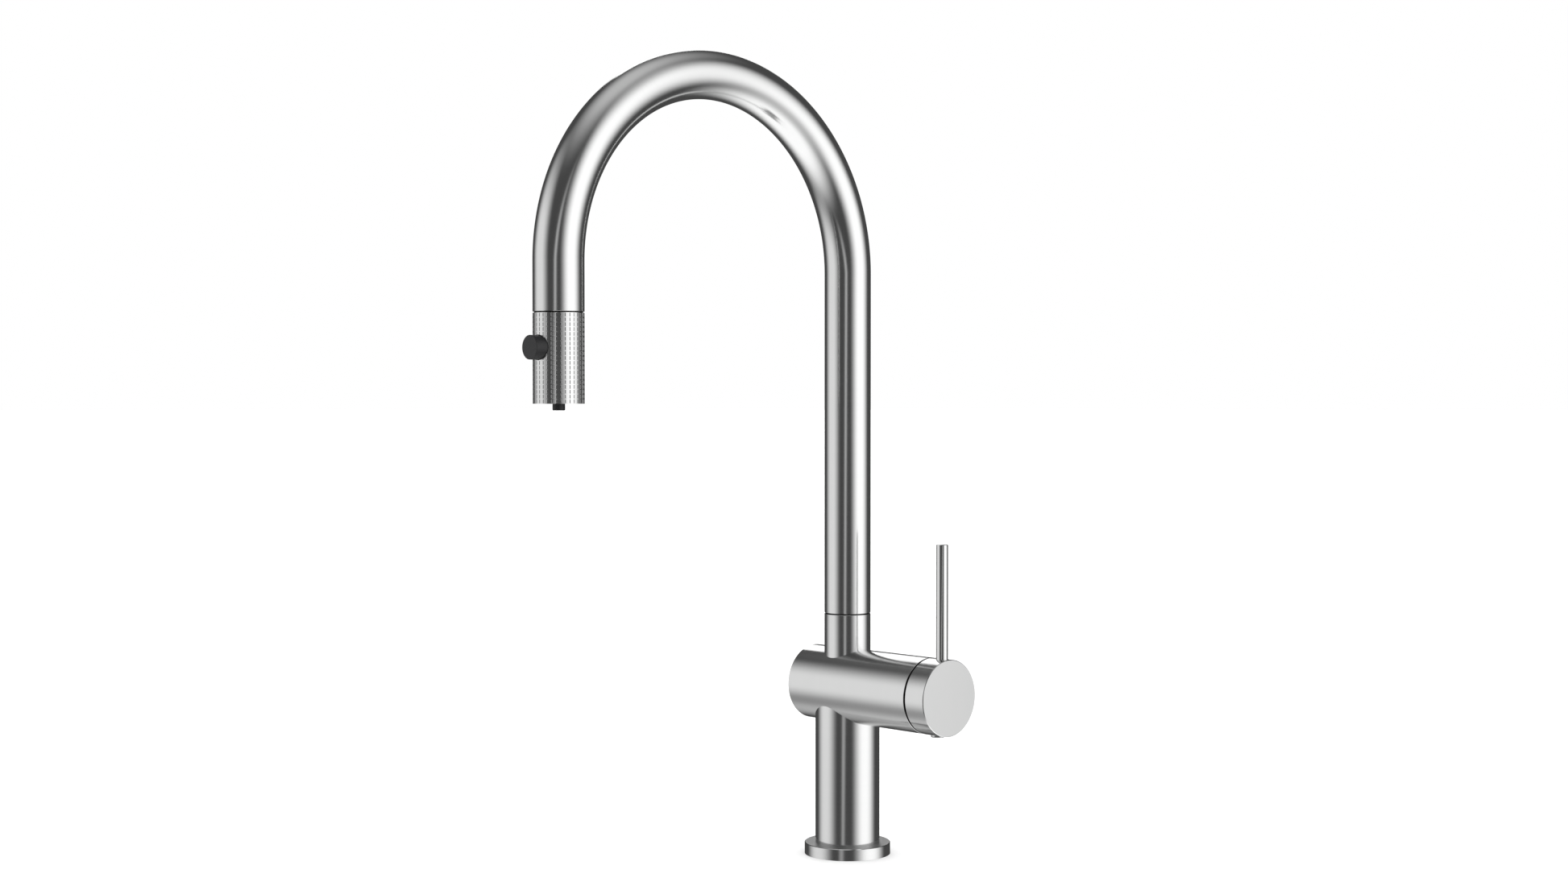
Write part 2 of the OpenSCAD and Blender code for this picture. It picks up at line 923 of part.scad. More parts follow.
column();
barrel();
riser_stub();
barrel_end_cap();
base_flange();
base_seal();
threaded_shank();
deck_rubber_washer();
deck_steel_washer();
mounting_nut();
inlet_manifold();
hot_pipe();
cold_pipe();
mixed_pipe();
outlet_tube();
cartridge_seat();
cartridge_base_seal();
cartridge_housing();
fixed_ceramic_disc();
stem_glide_washer();
cartridge_nut();
cap_glide_ring();
swivel_spigot();
swivel_glide_ring();
spout_retaining_ring();
body_hose();
moving_ceramic_disc();
cartridge_stem();
stem_o_ring();
lever_insert();
lever_cap();
lever_rod();
grub_screw();
grub_screw_plug();
spout_tube();
spout_bush();
dock_bush();
gooseneck_hose();
pull_hose();
hose_ferrule();
hose_tail();
hose_nut();
hose_seal();
spray_inlet();
check_valve();
spray_core();
spray_shell();
spray_face();
spray_jets();
stream_nozzle();
spray_button();
diverter_spool();
spool_o_rings();
button_spring();
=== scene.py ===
"""Looks of a pull-down kitchen faucet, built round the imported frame.

Finishes, fine meshes, studio and camera, in metres, where the frame says each node stands.
"""

import logging
import math
from dataclasses import dataclass, field
from enum import Enum
from typing import Callable, Iterable, Optional, Sequence

import bmesh
import bpy
from mathutils import Matrix, Vector


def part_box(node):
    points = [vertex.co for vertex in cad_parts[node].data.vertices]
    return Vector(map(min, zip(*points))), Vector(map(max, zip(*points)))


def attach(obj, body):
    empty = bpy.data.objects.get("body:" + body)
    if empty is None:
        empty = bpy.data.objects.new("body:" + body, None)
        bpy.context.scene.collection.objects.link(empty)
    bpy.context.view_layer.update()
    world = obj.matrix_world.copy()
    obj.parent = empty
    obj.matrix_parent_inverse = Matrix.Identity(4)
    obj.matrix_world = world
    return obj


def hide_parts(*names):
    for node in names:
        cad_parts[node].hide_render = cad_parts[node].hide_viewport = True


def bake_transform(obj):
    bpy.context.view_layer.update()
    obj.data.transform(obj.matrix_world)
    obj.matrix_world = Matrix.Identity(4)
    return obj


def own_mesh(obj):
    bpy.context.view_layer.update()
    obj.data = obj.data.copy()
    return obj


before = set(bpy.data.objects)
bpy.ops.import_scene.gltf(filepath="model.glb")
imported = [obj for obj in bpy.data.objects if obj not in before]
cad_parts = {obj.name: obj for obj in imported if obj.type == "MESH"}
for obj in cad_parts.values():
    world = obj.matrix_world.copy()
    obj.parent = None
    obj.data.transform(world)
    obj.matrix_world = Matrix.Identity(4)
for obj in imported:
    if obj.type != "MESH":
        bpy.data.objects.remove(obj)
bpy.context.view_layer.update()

logging.basicConfig(level=logging.INFO, format="%(name)s: %(message)s")
LOG = logging.getLogger("faucet")

MM = 0.001
TAU = 2.0 * math.pi
TINY = 1e-7  # closer than this, two points are one


# ---------------------------------------------------------------- shader maths


class Val:
    """A number that flows through a node tree: arithmetic on it adds Math nodes."""

    def __init__(self, desk: "NodeDesk", socket: bpy.types.NodeSocket) -> None:
        """Wrap one output socket.

        Args:
            desk: the desk that adds nodes to the tree.
            socket: the output socket that holds the number.
        """
        self.desk = desk
        self.socket = socket

    def _math(self, operation: str, *operands: object) -> "Val":
        """Add one Math node.

        Args:
            operation: the Math node's operation.
            operands: numbers or Vals, in socket order.

        Returns:
            The node's result.
        """
        node = self.desk.add("ShaderNodeMath", {"operation": operation}, list(operands))
        return Val(self.desk, node.outputs[0])

    def __add__(self, other: object) -> "Val":
        """Sum."""
        return self._math("ADD", self, other)

    __radd__ = __add__

    def __sub__(self, other: object) -> "Val":
        """Difference."""
        return self._math("SUBTRACT", self, other)

    def __rsub__(self, other: object) -> "Val":
        """Reflected difference, as in 1 - mask."""
        return self._math("SUBTRACT", other, self)

    def __mul__(self, other: object) -> "Val":
        """Product."""
        return self._math("MULTIPLY", self, other)

    __rmul__ = __mul__

    def __truediv__(self, other: object) -> "Val":
        """Quotient."""
        return self._math("DIVIDE", self, other)

    def __rtruediv__(self, other: object) -> "Val":
        """Reflected quotient."""
        return self._math("DIVIDE", other, self)

    def __pow__(self, other: object) -> "Val":
        """Power."""
        return self._math("POWER", self, other)

    def __abs__(self) -> "Val":
        """Absolute value."""
        return self._math("ABSOLUTE", self)

    def sine(self) -> "Val":
        """Sine of an angle in radians."""
        return self._math("SINE", self)

    def arc_sine(self) -> "Val":
        """Angle in radians whose sine this is."""
        return self._math("ARCSINE", self)

    def cosine(self) -> "Val":
        """Cosine of an angle in radians."""
        return self._math("COSINE", self)

    def floor(self) -> "Val":
        """The whole number at or below this."""
        return self._math("FLOOR", self)

    def rounded(self) -> "Val":
        """The nearest whole number."""
        return self._math("ROUND", self)

    def modulo(self, other: object) -> "Val":
        """What is left after whole steps of other."""
        return self._math("MODULO", self, other)

    def near(self, other: object, within: float) -> "Val":
        """1 where this is that close to other, and 0 elsewhere."""
        return self._math("COMPARE", self, other, within)

    def larger(self, other: object) -> "Val":
        """The larger of two numbers."""
        return self._math("MAXIMUM", self, other)

    def angle_from(self, other: object) -> "Val":
        """Arc tangent of self over other, in radians."""
        return self._math("ARCTAN2", self, other)

    def ramp(self, low: float, high: float, out_low: float = 0.0, out_high: float = 1.0) -> "Val":
        """Smooth step from low to high.

        Args:
            low: the input at which the output starts to change.
            high: the input at which it stops.
            out_low: the output at low.
            out_high: the output at high.

        Returns:
            The eased value.
        """
        node = self.desk.add(
            "ShaderNodeMapRange",
            {"interpolation_type": "SMOOTHSTEP"},
            [self, low, high, out_low, out_high],
        )
        return Val(self.desk, node.outputs[0])


# Places of a Mix node's sockets when it works on colours.
MIX_FACTOR, MIX_FIRST, MIX_SECOND, MIX_RESULT = 0, 6, 7, 2


class NodeDesk:
    """Adds nodes to one tree and links them."""

    def __init__(self, tree: bpy.types.NodeTree) -> None:
        """Start on an emptied tree.

        Args:
            tree: the node tree to fill.
        """
        self.tree = tree
        tree.nodes.clear()

    def add(
        self, kind: str, settings: Optional[dict] = None, inputs: object = None
    ) -> bpy.types.Node:
        """Add one node, set it up and feed it.

        Args:
            kind: the node's type name.
            settings: properties set before any socket, such as a Math node's operation.
            inputs: a list in socket order, or a dict by socket name or place. Each value is a
                number, colour, socket or Val, and None leaves the socket alone.

        Returns:
            The new node.
        """
        node = self.tree.nodes.new(kind)
        for key, value in (settings or {}).items():
            setattr(node, key, value)
        pairs = inputs.items() if isinstance(inputs, dict) else enumerate(inputs or [])
        for key, value in pairs:
            if value is None:
                continue
            socket = node.inputs[key]
            source = value.socket if isinstance(value, Val) else value
            if isinstance(source, bpy.types.NodeSocket):
                self.tree.links.new(source, socket)
            else:
                socket.default_value = source
        return node

    def val(self, node: bpy.types.Node, output: object = 0) -> Val:
        """One output of a node as a Val."""
        return Val(self, node.outputs[output])

    def object_point(self) -> bpy.types.NodeSocket:
        """Object coordinates, in metres."""
        return self.add("ShaderNodeTexCoord").outputs["Object"]

    def uv_point(self) -> bpy.types.NodeSocket:
        """The mesh's own UV map: turns round the piece, metres along it."""
        return self.add("ShaderNodeTexCoord").outputs["UV"]

    def scaled(
        self, point: object, scale: Sequence[float], place: Sequence[float] = (0, 0, 0)
    ) -> bpy.types.NodeSocket:
        """A point moved and stretched, for patterns that run one way.

        Args:
            point: the vector socket.
            scale: the stretch along each axis.
            place: what is added after the stretch.

        Returns:
            The vector socket that patterns read.
        """
        node = self.add(
            "ShaderNodeMapping",
            {"vector_type": "POINT"},
            {"Vector": point, "Scale": tuple(scale), "Location": tuple(place)},
        )
        return node.outputs[0]

    def noise(self, point: object, scale: float, detail: float, rough: float) -> Val:
        """Value noise about one half.

        Args:
            point: the vector socket.
            scale: cells per unit of the point.
            detail: octaves.
            rough: weight of the finer octaves.

        Returns:
            The noise's factor.
        """
        node = self.add(
            "ShaderNodeTexNoise",
            {"noise_dimensions": "3D"},
            {"Vector": point, "Scale": scale, "Detail": detail, "Roughness": rough},
        )
        return self.val(node, 0)

    def axes(self, point: object) -> tuple[Val, Val, Val]:
        """The three numbers of a vector socket."""
        node = self.add("ShaderNodeSeparateXYZ", None, [point])
        return self.val(node, 0), self.val(node, 1), self.val(node, 2)

    def from_axis(self, point: object) -> bpy.types.NodeSocket:
        """A point whose first number is the distance from the Z axis, for marks in circles."""
        x, y, _ = self.axes(point)
        far = (x * x + y * y) ** 0.5
        return self.add("ShaderNodeCombineXYZ", None, [far]).outputs[0]

    def blend(self, factor: object, first: object, second: object) -> bpy.types.NodeSocket:
        """Mix two colours.

        Args:
            factor: a number or Val, 0 for the first colour.
            first: a colour or socket.
            second: a colour or socket.

        Returns:
            The mixed colour's socket.
        """
        node = self.add(
            "ShaderNodeMix",
            {"data_type": "RGBA"},
            {MIX_FACTOR: factor, MIX_FIRST: _rgba(first), MIX_SECOND: _rgba(second)},
        )
        return node.outputs[MIX_RESULT]

    def bump(self, height: Val, depth: float, strength: float = 1.0) -> bpy.types.NodeSocket:
        """A normal from a height.

        Args:
            height: the height, 0 to 1.
            depth: metres from 0 to 1.
            strength: how much of it shows.

        Returns:
            The normal's socket.
        """
        node = self.add(
            "ShaderNodeBump", None, {"Height": height, "Distance": depth, "Strength": strength}
        )
        return node.outputs[0]


def _rgba(colour: object) -> object:
    """A colour with its alpha, or a socket unchanged."""
    if isinstance(colour, (tuple, list)) and len(colour) == 3:
        return (*colour, 1.0)
    return colour


# ---------------------------------------------------------------- finishes


class Grain(Enum):
    """Which way the brush marks of a steel face run: noise cells per metre along each axis."""

    ROUND_Z = (24.0, 24.0, 2600.0)
    ROUND_X = (2600.0, 24.0, 24.0)
    DOWN_THE_FACE = (40.0, 2400.0, 30.0)
    CIRCLES = (3200.0, 0.0, 0.0)


@dataclass(frozen=True)
class Finish:
    """A finish: a named material with constant shader settings."""

    name: str
    metallic: float = 0.0
    specular: float = 0.5

    def paint(self, desk: NodeDesk) -> dict:
        """What changes over the surface: Principled inputs by name."""
        raise NotImplementedError

    def material(self) -> bpy.types.Material:
        """Build the material once and reuse it.

        Returns:
            The material of this finish.
        """
        known = bpy.data.materials.get(self.name)
        if known is not None:
            return known
        made = bpy.data.materials.new(self.name)
        made.use_nodes = True
        desk = NodeDesk(made.node_tree)
        inputs = {"Metallic": self.metallic, "Specular IOR Level": self.specular}
        inputs.update(self.paint(desk))
        shader = desk.add("ShaderNodeBsdfPrincipled", None, inputs)
        desk.add("ShaderNodeOutputMaterial", None, {"Surface": shader.outputs[0]})
        return made


# Brush marks on a UV map, in cells per turn, per metre and across: the fine marks and the streaks.
UV_MARKS, UV_STREAKS = (6.0, 2600.0, 1.0), (3.0, 420.0, 1.0)
# A grain's number above this is across the marks; streaks are that much coarser across and along.
ACROSS, COARSER_ACROSS, COARSER_ALONG = 1000.0, 0.22, 0.7
# Moves the streaks off the fine marks, so that the two patterns don't repeat each other.
STREAK_OFFSET = (3.1, 1.7, 5.3)


@dataclass(frozen=True)
class BrushedSteel(Finish):
    """Satin stainless steel with brush marks one way, soft handling haze and a faint cold tint."""

    metallic: float = 1.0
    grain: Grain = Grain.ROUND_Z
    tone: float = 0.80
    roughness: float = 0.15
    on_uv: bool = False
    haze_scale: float = 22.0
    relief: float = 0.0022 * MM

    def paint(self, desk: NodeDesk) -> dict:
        """Brush marks in colour, roughness and relief; haze in roughness."""
        if self.on_uv:
            fine, coarse = UV_MARKS, UV_STREAKS
            point = desk.uv_point()
        else:
            fine = self.grain.value
            coarse = tuple(v * (COARSER_ACROSS if v > ACROSS else COARSER_ALONG) for v in fine)
            point = desk.object_point()
        if self.grain is Grain.CIRCLES:
            point = desk.from_axis(point)
        marks = desk.noise(desk.scaled(point, fine), 1.0, 2.0, 0.6)
        streaks = desk.noise(desk.scaled(point, coarse, STREAK_OFFSET), 1.0, 3.0, 0.55)
        haze = desk.noise(desk.object_point(), self.haze_scale, 3.0, 0.5)
        light = (self.tone, self.tone, self.tone * 0.995)
        dark = (self.tone * 0.93, self.tone * 0.935, self.tone * 0.935)
        uneven = (marks - 0.5) * 0.05 + (streaks - 0.5) * 0.03 + (haze - 0.5) * 0.04
        return {
            "Base Color": desk.blend(marks * 0.45 + streaks * 0.55, dark, light),
            "Roughness": uneven + self.roughness,
            "Normal": desk.bump(marks * 0.7 + streaks * 0.3, self.relief),
        }


@dataclass(frozen=True)
class KnurledSteel(BrushedSteel):
    """Brushed steel whose grooves are dull, as polishing never reaches them, and dark with painted
    shade.
    """

    axis_y: float = 0.0
    radius: float = 14.0 * MM
    shallow: float = 0.04 * MM
    deep: float = 0.1 * MM
    # Painted shade: the near-black colour of the grooves, and how much of it they take.
    groove_shade: tuple = (0.03, 0.03, 0.03)
    groove_shade_share: float = 0.93
    dulling: float = 0.3

    def paint(self, desk: NodeDesk) -> dict:
        """The brushed finish with painted shade, darker the deeper the surface lies, and duller
        there too.
        """
        inputs = super().paint(desk)
        x, y, _ = desk.axes(desk.object_point())
        y = y - self.axis_y
        depth = self.radius - (x * x + y * y) ** 0.5
        cavity = depth.ramp(self.shallow, self.deep)
        # Painted shade: the colour goes towards near black as the surface lies deeper in a groove.
        inputs["Base Color"] = desk.blend(cavity * self.groove_shade_share, inputs["Base Color"], self.groove_shade)
        inputs["Roughness"] = inputs["Roughness"] + cavity * self.dulling
        return inputs


@dataclass(frozen=True)
class TurnedMetal(Finish):
    """Machined metal with tool rings and a little tarnish, for brass, plain steel and copper."""

    metallic: float = 1.0
    light: tuple = (0.80, 0.62, 0.30)
    dark: tuple = (0.55, 0.40, 0.17)
    roughness: float = 0.28
    rings: tuple = (30.0, 30.0, 1800.0)
    cloud_scale: float = 130.0
    spot_scale: float = 900.0
    relief: float = 0.008 * MM

    def paint(self, desk: NodeDesk) -> dict:
        """Tool rings and cloudy tarnish, with a few darker spots."""
        point = desk.object_point()
        tool = desk.noise(desk.scaled(point, self.rings), 1.0, 1.0, 0.5)
        cloud = desk.noise(point, self.cloud_scale, 4.0, 0.6)
        spots = desk.noise(point, self.spot_scale, 2.0, 0.5).ramp(0.62, 0.78)
        bright = cloud.ramp(0.35, 0.7) * 0.75 + tool * 0.25
        metal = desk.blend(bright, self.dark, self.light)
        return {
            "Base Color": desk.blend(spots * 0.5, metal, tuple(0.6 * c for c in self.dark)),
            "Roughness": self.roughness + (1.0 - bright) * 0.18 + spots * 0.2,
            "Normal": desk.bump(tool, self.relief),
        }


@dataclass(frozen=True)
class MouldedPolymer(Finish):
    """Moulded plastic with a fine spark-eroded grain, slight flow clouds and rubbed patches."""

    specular: float = 0.4
    base: tuple = (0.010, 0.010, 0.011)
    rubbed: tuple = (0.017, 0.017, 0.018)
    roughness: float = 0.42
    grain_scale: float = 3600.0
    flow_scale: float = 90.0
    relief: float = 0.012 * MM

    def paint(self, desk: NodeDesk) -> dict:
        """Fine moulded grain and rubbed patches."""
        point = desk.object_point()
        grain = desk.noise(point, self.grain_scale, 2.0, 0.6)
        flow = desk.noise(point, self.flow_scale, 3.0, 0.5).ramp(0.35, 0.7)
        return {
            "Base Color": desk.blend(flow * 0.7 + grain * 0.3, self.base, self.rubbed),
            "Roughness": self.roughness + (flow - 0.5) * 0.08 + (grain - 0.5) * 0.06,
            "Normal": desk.bump(grain, self.relief, 0.6),
        }


@dataclass(frozen=True)
class MouldedRubber(Finish):
    """Rubber or silicone with a talc bloom and a dull grain."""

    specular: float = 0.3
    base: tuple = (0.02, 0.02, 0.02)
    bloom: tuple = (0.06, 0.06, 0.058)
    roughness: float = 0.7
    grain_scale: float = 2200.0
    patch_scale: float = 160.0
    relief: float = 0.02 * MM

    def paint(self, desk: NodeDesk) -> dict:
        """Bloom in patches over a dull grain."""
        point = desk.object_point()
        grain = desk.noise(point, self.grain_scale, 3.0, 0.65)
        patch = desk.noise(point, self.patch_scale, 3.0, 0.55).ramp(0.45, 0.75)
        return {
            "Base Color": desk.blend(patch * 0.6 + grain * 0.2, self.base, self.bloom),
            "Roughness": self.roughness + patch * 0.12,
            "Normal": desk.bump(grain, self.relief, 0.6),
        }


@dataclass(frozen=True)
class LappedCeramic(Finish):
    """White alumina ceramic: very smooth, faintly speckled."""

    specular: float = 0.6
    roughness: float = 0.12
    white: tuple = (0.9, 0.9, 0.87)
    speckle: tuple = (0.84, 0.83, 0.79)
    speck_scale: float = 2500.0
    haze_scale: float = 240.0
    relief: float = 0.002 * MM

    def paint(self, desk: NodeDesk) -> dict:
        """Speckle and lapping haze."""
        point = desk.object_point()
        speck = desk.noise(point, self.speck_scale, 2.0, 0.5)
        haze = desk.noise(point, self.haze_scale, 2.0, 0.5)
        return {
            "Base Color": desk.blend(speck, self.speckle, self.white),
            "Roughness": self.roughness + haze * 0.08,
            "Normal": desk.bump(speck, self.relief),
        }


@dataclass(frozen=True)
class BraidedHose(Finish):
    """Woven nylon over a rubber hose: two sets of yarns that cross, with a paler tracer yarn."""

    specular: float = 0.35
    axis: tuple = (0.0, 0.0)
    yarns: int = 24
    lead: float = 9.0 * MM
    gap_colour: tuple = (0.05, 0.052, 0.056)
    yarn_colour: tuple = (0.34, 0.35, 0.37)
    tracer_colour: tuple = (0.72, 0.73, 0.74)
    relief: float = 0.18 * MM

    def _yarn(self, phase: Val) -> Val:
        """The height of one set of yarns, rounded on top."""
        return ((phase * TAU).sine() * 0.5 + 0.5) ** 0.6

    def paint(self, desk: NodeDesk) -> dict:
        """Crossing yarns from the angle round the hose and the height along it."""
        x, y, z = desk.axes(desk.object_point())
        turn = (y - self.axis[1]).angle_from(x - self.axis[0]) / TAU
        climb = z / self.lead
        one = self._yarn(turn * self.yarns + climb * self.yarns / 4.0)
        two = self._yarn(turn * self.yarns - climb * self.yarns / 4.0)
        round_wave = (turn * self.yarns / 2.0 * TAU).sine()
        climb_wave = (climb * self.yarns / 8.0 * TAU).sine()
        over = (round_wave * climb_wave).ramp(-0.3, 0.3)
        height = (one * over).larger(two * (1.0 - over))
        tracer = ((turn * 3.0 + climb * 0.75) * TAU).sine().ramp(0.94, 0.99)
        cloth = desk.blend(height, self.gap_colour, self.yarn_colour)
        return {
            "Base Color": desk.blend(tracer * height * 0.6, cloth, self.tracer_colour),
            "Roughness": 0.55 - height * 0.12,
            "Normal": desk.bump(height, self.relief, 0.8),
        }


@dataclass(frozen=True)
class PaleFloor(Finish):
    """Plain pale studio floor with a barely visible mottle."""

    specular: float = 0.2
    tone: float = 0.86
    mottle_scale: float = 14.0

    def paint(self, desk: NodeDesk) -> dict:
        """An even tone with a very faint mottle."""
        mottle = desk.noise(desk.object_point(), self.mottle_scale, 3.0, 0.5)
        pale = (self.tone, self.tone, self.tone)
        return {
            "Base Color": desk.blend(mottle, pale, tuple(c * 0.995 for c in pale)),
            "Roughness": 0.8 + mottle * 0.05,
        }


STEEL_Z = BrushedSteel("steel_brushed_round_riser", grain=Grain.ROUND_Z)
STEEL_X = BrushedSteel("steel_brushed_round_barrel", grain=Grain.ROUND_X)
# Painted shade: the flat end faces take a slightly darker tone than the same steel on the tubes;
# the grain down the face and the higher roughness are the finish's own.
STEEL_FACE = BrushedSteel(
    "steel_brushed_down_face", grain=Grain.DOWN_THE_FACE, tone=0.785, roughness=0.22
)
# Partly real, partly painted shade: the turned rings and the rougher surface are the flange top's
# own, and its darker tone is painted shade.
STEEL_TURNED_SHADED_TOP = BrushedSteel("steel_turned_top", grain=Grain.CIRCLES, tone=0.54, roughness=0.5)
STEEL_TUBE = BrushedSteel("steel_brushed_along_gooseneck", on_uv=True)
STEEL_ROD = BrushedSteel("steel_polished_rod", grain=Grain.ROUND_Z, roughness=0.13)
BRASS = TurnedMetal("brass_machined")
COPPER = TurnedMetal(
    "copper_drawn", light=(0.86, 0.45, 0.29), dark=(0.52, 0.22, 0.12), roughness=0.24
)
PLAIN_STEEL = TurnedMetal(
    "steel_plain_turned", light=(0.62, 0.62, 0.63), dark=(0.42, 0.42, 0.43)
)
BLACK = MouldedPolymer("polymer_black_matt")
SEAL_BLACK = MouldedPolymer(
    "polymer_black_seam",
    specular=0.12,
    base=(0.003, 0.003, 0.003),
    rubbed=(0.006, 0.006, 0.006),
    roughness=0.65,
)
ACETAL = MouldedPolymer(
    "acetal_ivory", base=(0.62, 0.6, 0.54), rubbed=(0.72, 0.7, 0.64), roughness=0.38
)
RUBBER = MouldedRubber("rubber_black")
SILICONE = MouldedRubber(
    "silicone_grey", base=(0.2, 0.205, 0.21), bloom=(0.3, 0.305, 0.31), roughness=0.55
)
CERAMIC = LappedCeramic("ceramic_lapped")


# ---------------------------------------------------------------- meshes


STRIP = 0.001  # metres of UV map for a strip whose real length doesn't matter


def circle(radius: float, height: float, steps: int, x: float = 0.0) -> list:
    """A level ring of points round the upright axis at x.

    Args:
        radius: the ring's radius.
        height: its z.
        steps: how many points.
        x: where the axis stands.

    Returns:
        The points, anticlockwise from +X.
    """
    turns = [TAU * i / steps for i in range(steps)]
    return [Vector((x + radius * math.cos(a), radius * math.sin(a), height)) for a in turns]


@dataclass
class Skin:
    """Collects the points, faces, UVs and finishes of one mesh."""

    points: list = field(default_factory=list)
    faces: list = field(default_factory=list)
    uvs: list = field(default_factory=list)
    slots: list = field(default_factory=list)

    def rings(
        self,
        rings: Sequence[Sequence[Vector]],
        heights: Sequence[float],
        closed: bool = False,
        slot_of: Optional[Callable[[int], int]] = None,
    ) -> "Skin":
        """Join a run of rings with quads; a ring of one point is a pole.

        Args:
            rings: the rings, each a list of points in the same turning order.
            heights: one length along the run for each ring, for the UVs.
            closed: join the last ring to the first.
            slot_of: the material slot of the faces after each ring, if it isn't always the first.

        Returns:
            The skin itself.
        """
        starts = []
        for ring in rings:
            starts.append(len(self.points))
            self.points.extend(ring)
        count = len(rings)
        for k in range(count if closed else count - 1):
            n = (k + 1) % count
            a, b = rings[k], rings[n]
            v0, v1 = heights[k], heights[n] if n else heights[-1] + STRIP
            steps = max(len(a), len(b))
            for i in range(steps):
                j = (i + 1) % steps
                u0, u1 = i / steps, (i + 1) / steps
                ia, ja = (starts[k] + (m if len(a) > 1 else 0) for m in (i, j))
                ib, jb = (starts[n] + (m if len(b) > 1 else 0) for m in (i, j))
                corners = {}
                for index, at in ((ia, (u0, v0)), (ja, (u1, v0)), (jb, (u1, v1)), (ib, (u0, v1))):
                    corners.setdefault(index, at)
                if len(corners) > 2:
                    self.faces.append(list(corners))
                    self.uvs.append(list(corners.values()))
                    self.slots.append(slot_of(k) if slot_of else 0)
        return self

    def lathe(
        self,
        outline: Sequence[tuple],
        seat: Matrix,
        steps: int,
        closed: bool,
        slot_of: Optional[Callable[[int], int]] = None,
    ) -> "Skin":
        """Turn an outline about the seat's Z axis.

        Args:
            outline: (radius, height) corners, in metres.
            seat: where the axis stands.
            steps: facets round.
            closed: whether the outline closes on itself.
            slot_of: the material slot after each corner, if it isn't always the first.

        Returns:
            The skin itself.
        """
        rings, heights, run = [], [], 0.0
        for k, (radius, height) in enumerate(outline):
            if k:
                run += math.dist(outline[k - 1], (radius, height))
            heights.append(run)
            ring = circle(radius, height, 1 if radius < TINY else steps)
            rings.append([seat @ point for point in ring])
        return self.rings(rings, heights, closed, slot_of)

    def build(
        self, name: str, finishes: Sequence[Finish], crease: float = 32.0
    ) -> bpy.types.Object:
        """Make the object, with clean outward faces and creased corners.

        Args:
            name: the piece's name.
            finishes: one finish for each material slot.
            crease: the angle in degrees past which an edge is sharp.

        Returns:
            The new object, at the origin.
        """
        mesh = bpy.data.meshes.new(name)
        mesh.from_pydata([tuple(p) for p in self.points], [], self.faces)
        layer = mesh.uv_layers.new(name="UVMap")
        for loop, at in enumerate(at for corners in self.uvs for at in corners):
            layer.data[loop].uv = at
        for finish in finishes:
            mesh.materials.append(finish.material())
        mesh.polygons.foreach_set("material_index", self.slots)
        return finished(mesh, name, crease)


def finished(mesh: bpy.types.Mesh, name: str, crease: float) -> bpy.types.Object:
    """Clean a mesh that has its materials and make it an object.

    Args:
        mesh: the raw mesh.
        name: the piece's name.
        crease: the angle in degrees past which an edge is sharp.

    Returns:
        The new object, at the origin.
    """
    work = bmesh.new()
    work.from_mesh(mesh)
    bmesh.ops.remove_doubles(work, verts=work.verts, dist=TINY)
    bmesh.ops.recalc_face_normals(work, faces=work.faces)
    work.to_mesh(mesh)
    work.free()
    mesh.shade_smooth()
    mesh.set_sharp_from_angle(angle=math.radians(crease))
    made = bpy.data.objects.new(name, mesh)
    bpy.context.scene.collection.objects.link(made)
    return made


def standing(x: float = 0.0, y: float = 0.0) -> Matrix:
    """A seat whose axis is +Z, so heights are z."""
    return Matrix.Translation((x, y, 0))


def along_x(y: float, z: float) -> Matrix:
    """A seat whose axis is +X, so heights are x."""
    return Matrix.Translation((0, y, z)) @ Matrix.Rotation(math.pi / 2, 4, "Y")


def towards_user(y: float, z: float) -> Matrix:
    """A seat whose axis is -Y, so heights count from y towards the user."""
    return Matrix.Translation((0, y, z)) @ Matrix.Rotation(math.pi / 2, 4, "X")


def place(piece: bpy.types.Object, body: str, nodes: Iterable[str], slot: str) -> bpy.types.Object:
    """Hand a finished piece to the frame and report it.

    Args:
        piece: the finished piece.
        body: the CAD body that it moves with.
        nodes: the CAD nodes that it stands for.
        slot: not used.

    Returns:
        The piece.
    """
    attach(piece, body)
    nodes = list(nodes)
    if nodes:
        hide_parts(*nodes)
    LOG.info("%s rides on %s, %d faces", piece.name, body, len(piece.data.polygons))
    return piece


def box_of(node: str) -> tuple[Vector, Vector]:
    """Lowest and highest corner of a CAD node."""
    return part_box(node)


# ---------------------------------------------------------------- sub-assemblies


@dataclass
class Viewpoint:
    """The camera: where it stands, which way it looks, and its lens and sensor in millimetres."""

    place: tuple = (0.971454, -0.968035, 0.282156)
    towards: tuple = (-0.72775, 0.68546, -0.022886)
    lens: float = 51.894
    sensor: float = 36.0
    nearest: float = 0.01
    farthest: float = 60.0

    def build(self) -> None:
        """Make the camera and set it as the scene's."""
        data = bpy.data.cameras.new("viewpoint")
        data.sensor_width = self.sensor
        data.lens = self.lens
        data.clip_start, data.clip_end = self.nearest, self.farthest
        camera = bpy.data.objects.new("viewpoint", data)
        bpy.context.scene.collection.objects.link(camera)
        forward = Vector(self.towards).normalized()
        right = forward.cross(Vector((0, 0, 1))).normalized()
        up = right.cross(forward)
        turn = Matrix((right, up, -forward)).transposed().to_4x4()
        camera.matrix_world = Matrix.Translation(self.place) @ turn
        bpy.context.scene.camera = camera


@dataclass(frozen=True)
class Softbox:
    """One bright patch of the studio's surroundings, in degrees round and above the horizon.

    Its outline is a rounded rectangle. soft is the share of its size over which its edge fades,
    squareness is 2 for an ellipse and more for squarer corners, and lean is how many degrees
    the patch moves round for each degree that it rises.
    """

    bearing: float
    height: float
    half_width: float
    half_height: float
    soft: float
    strength: float
    squareness: float = 2.6
    lean: float = 0.0


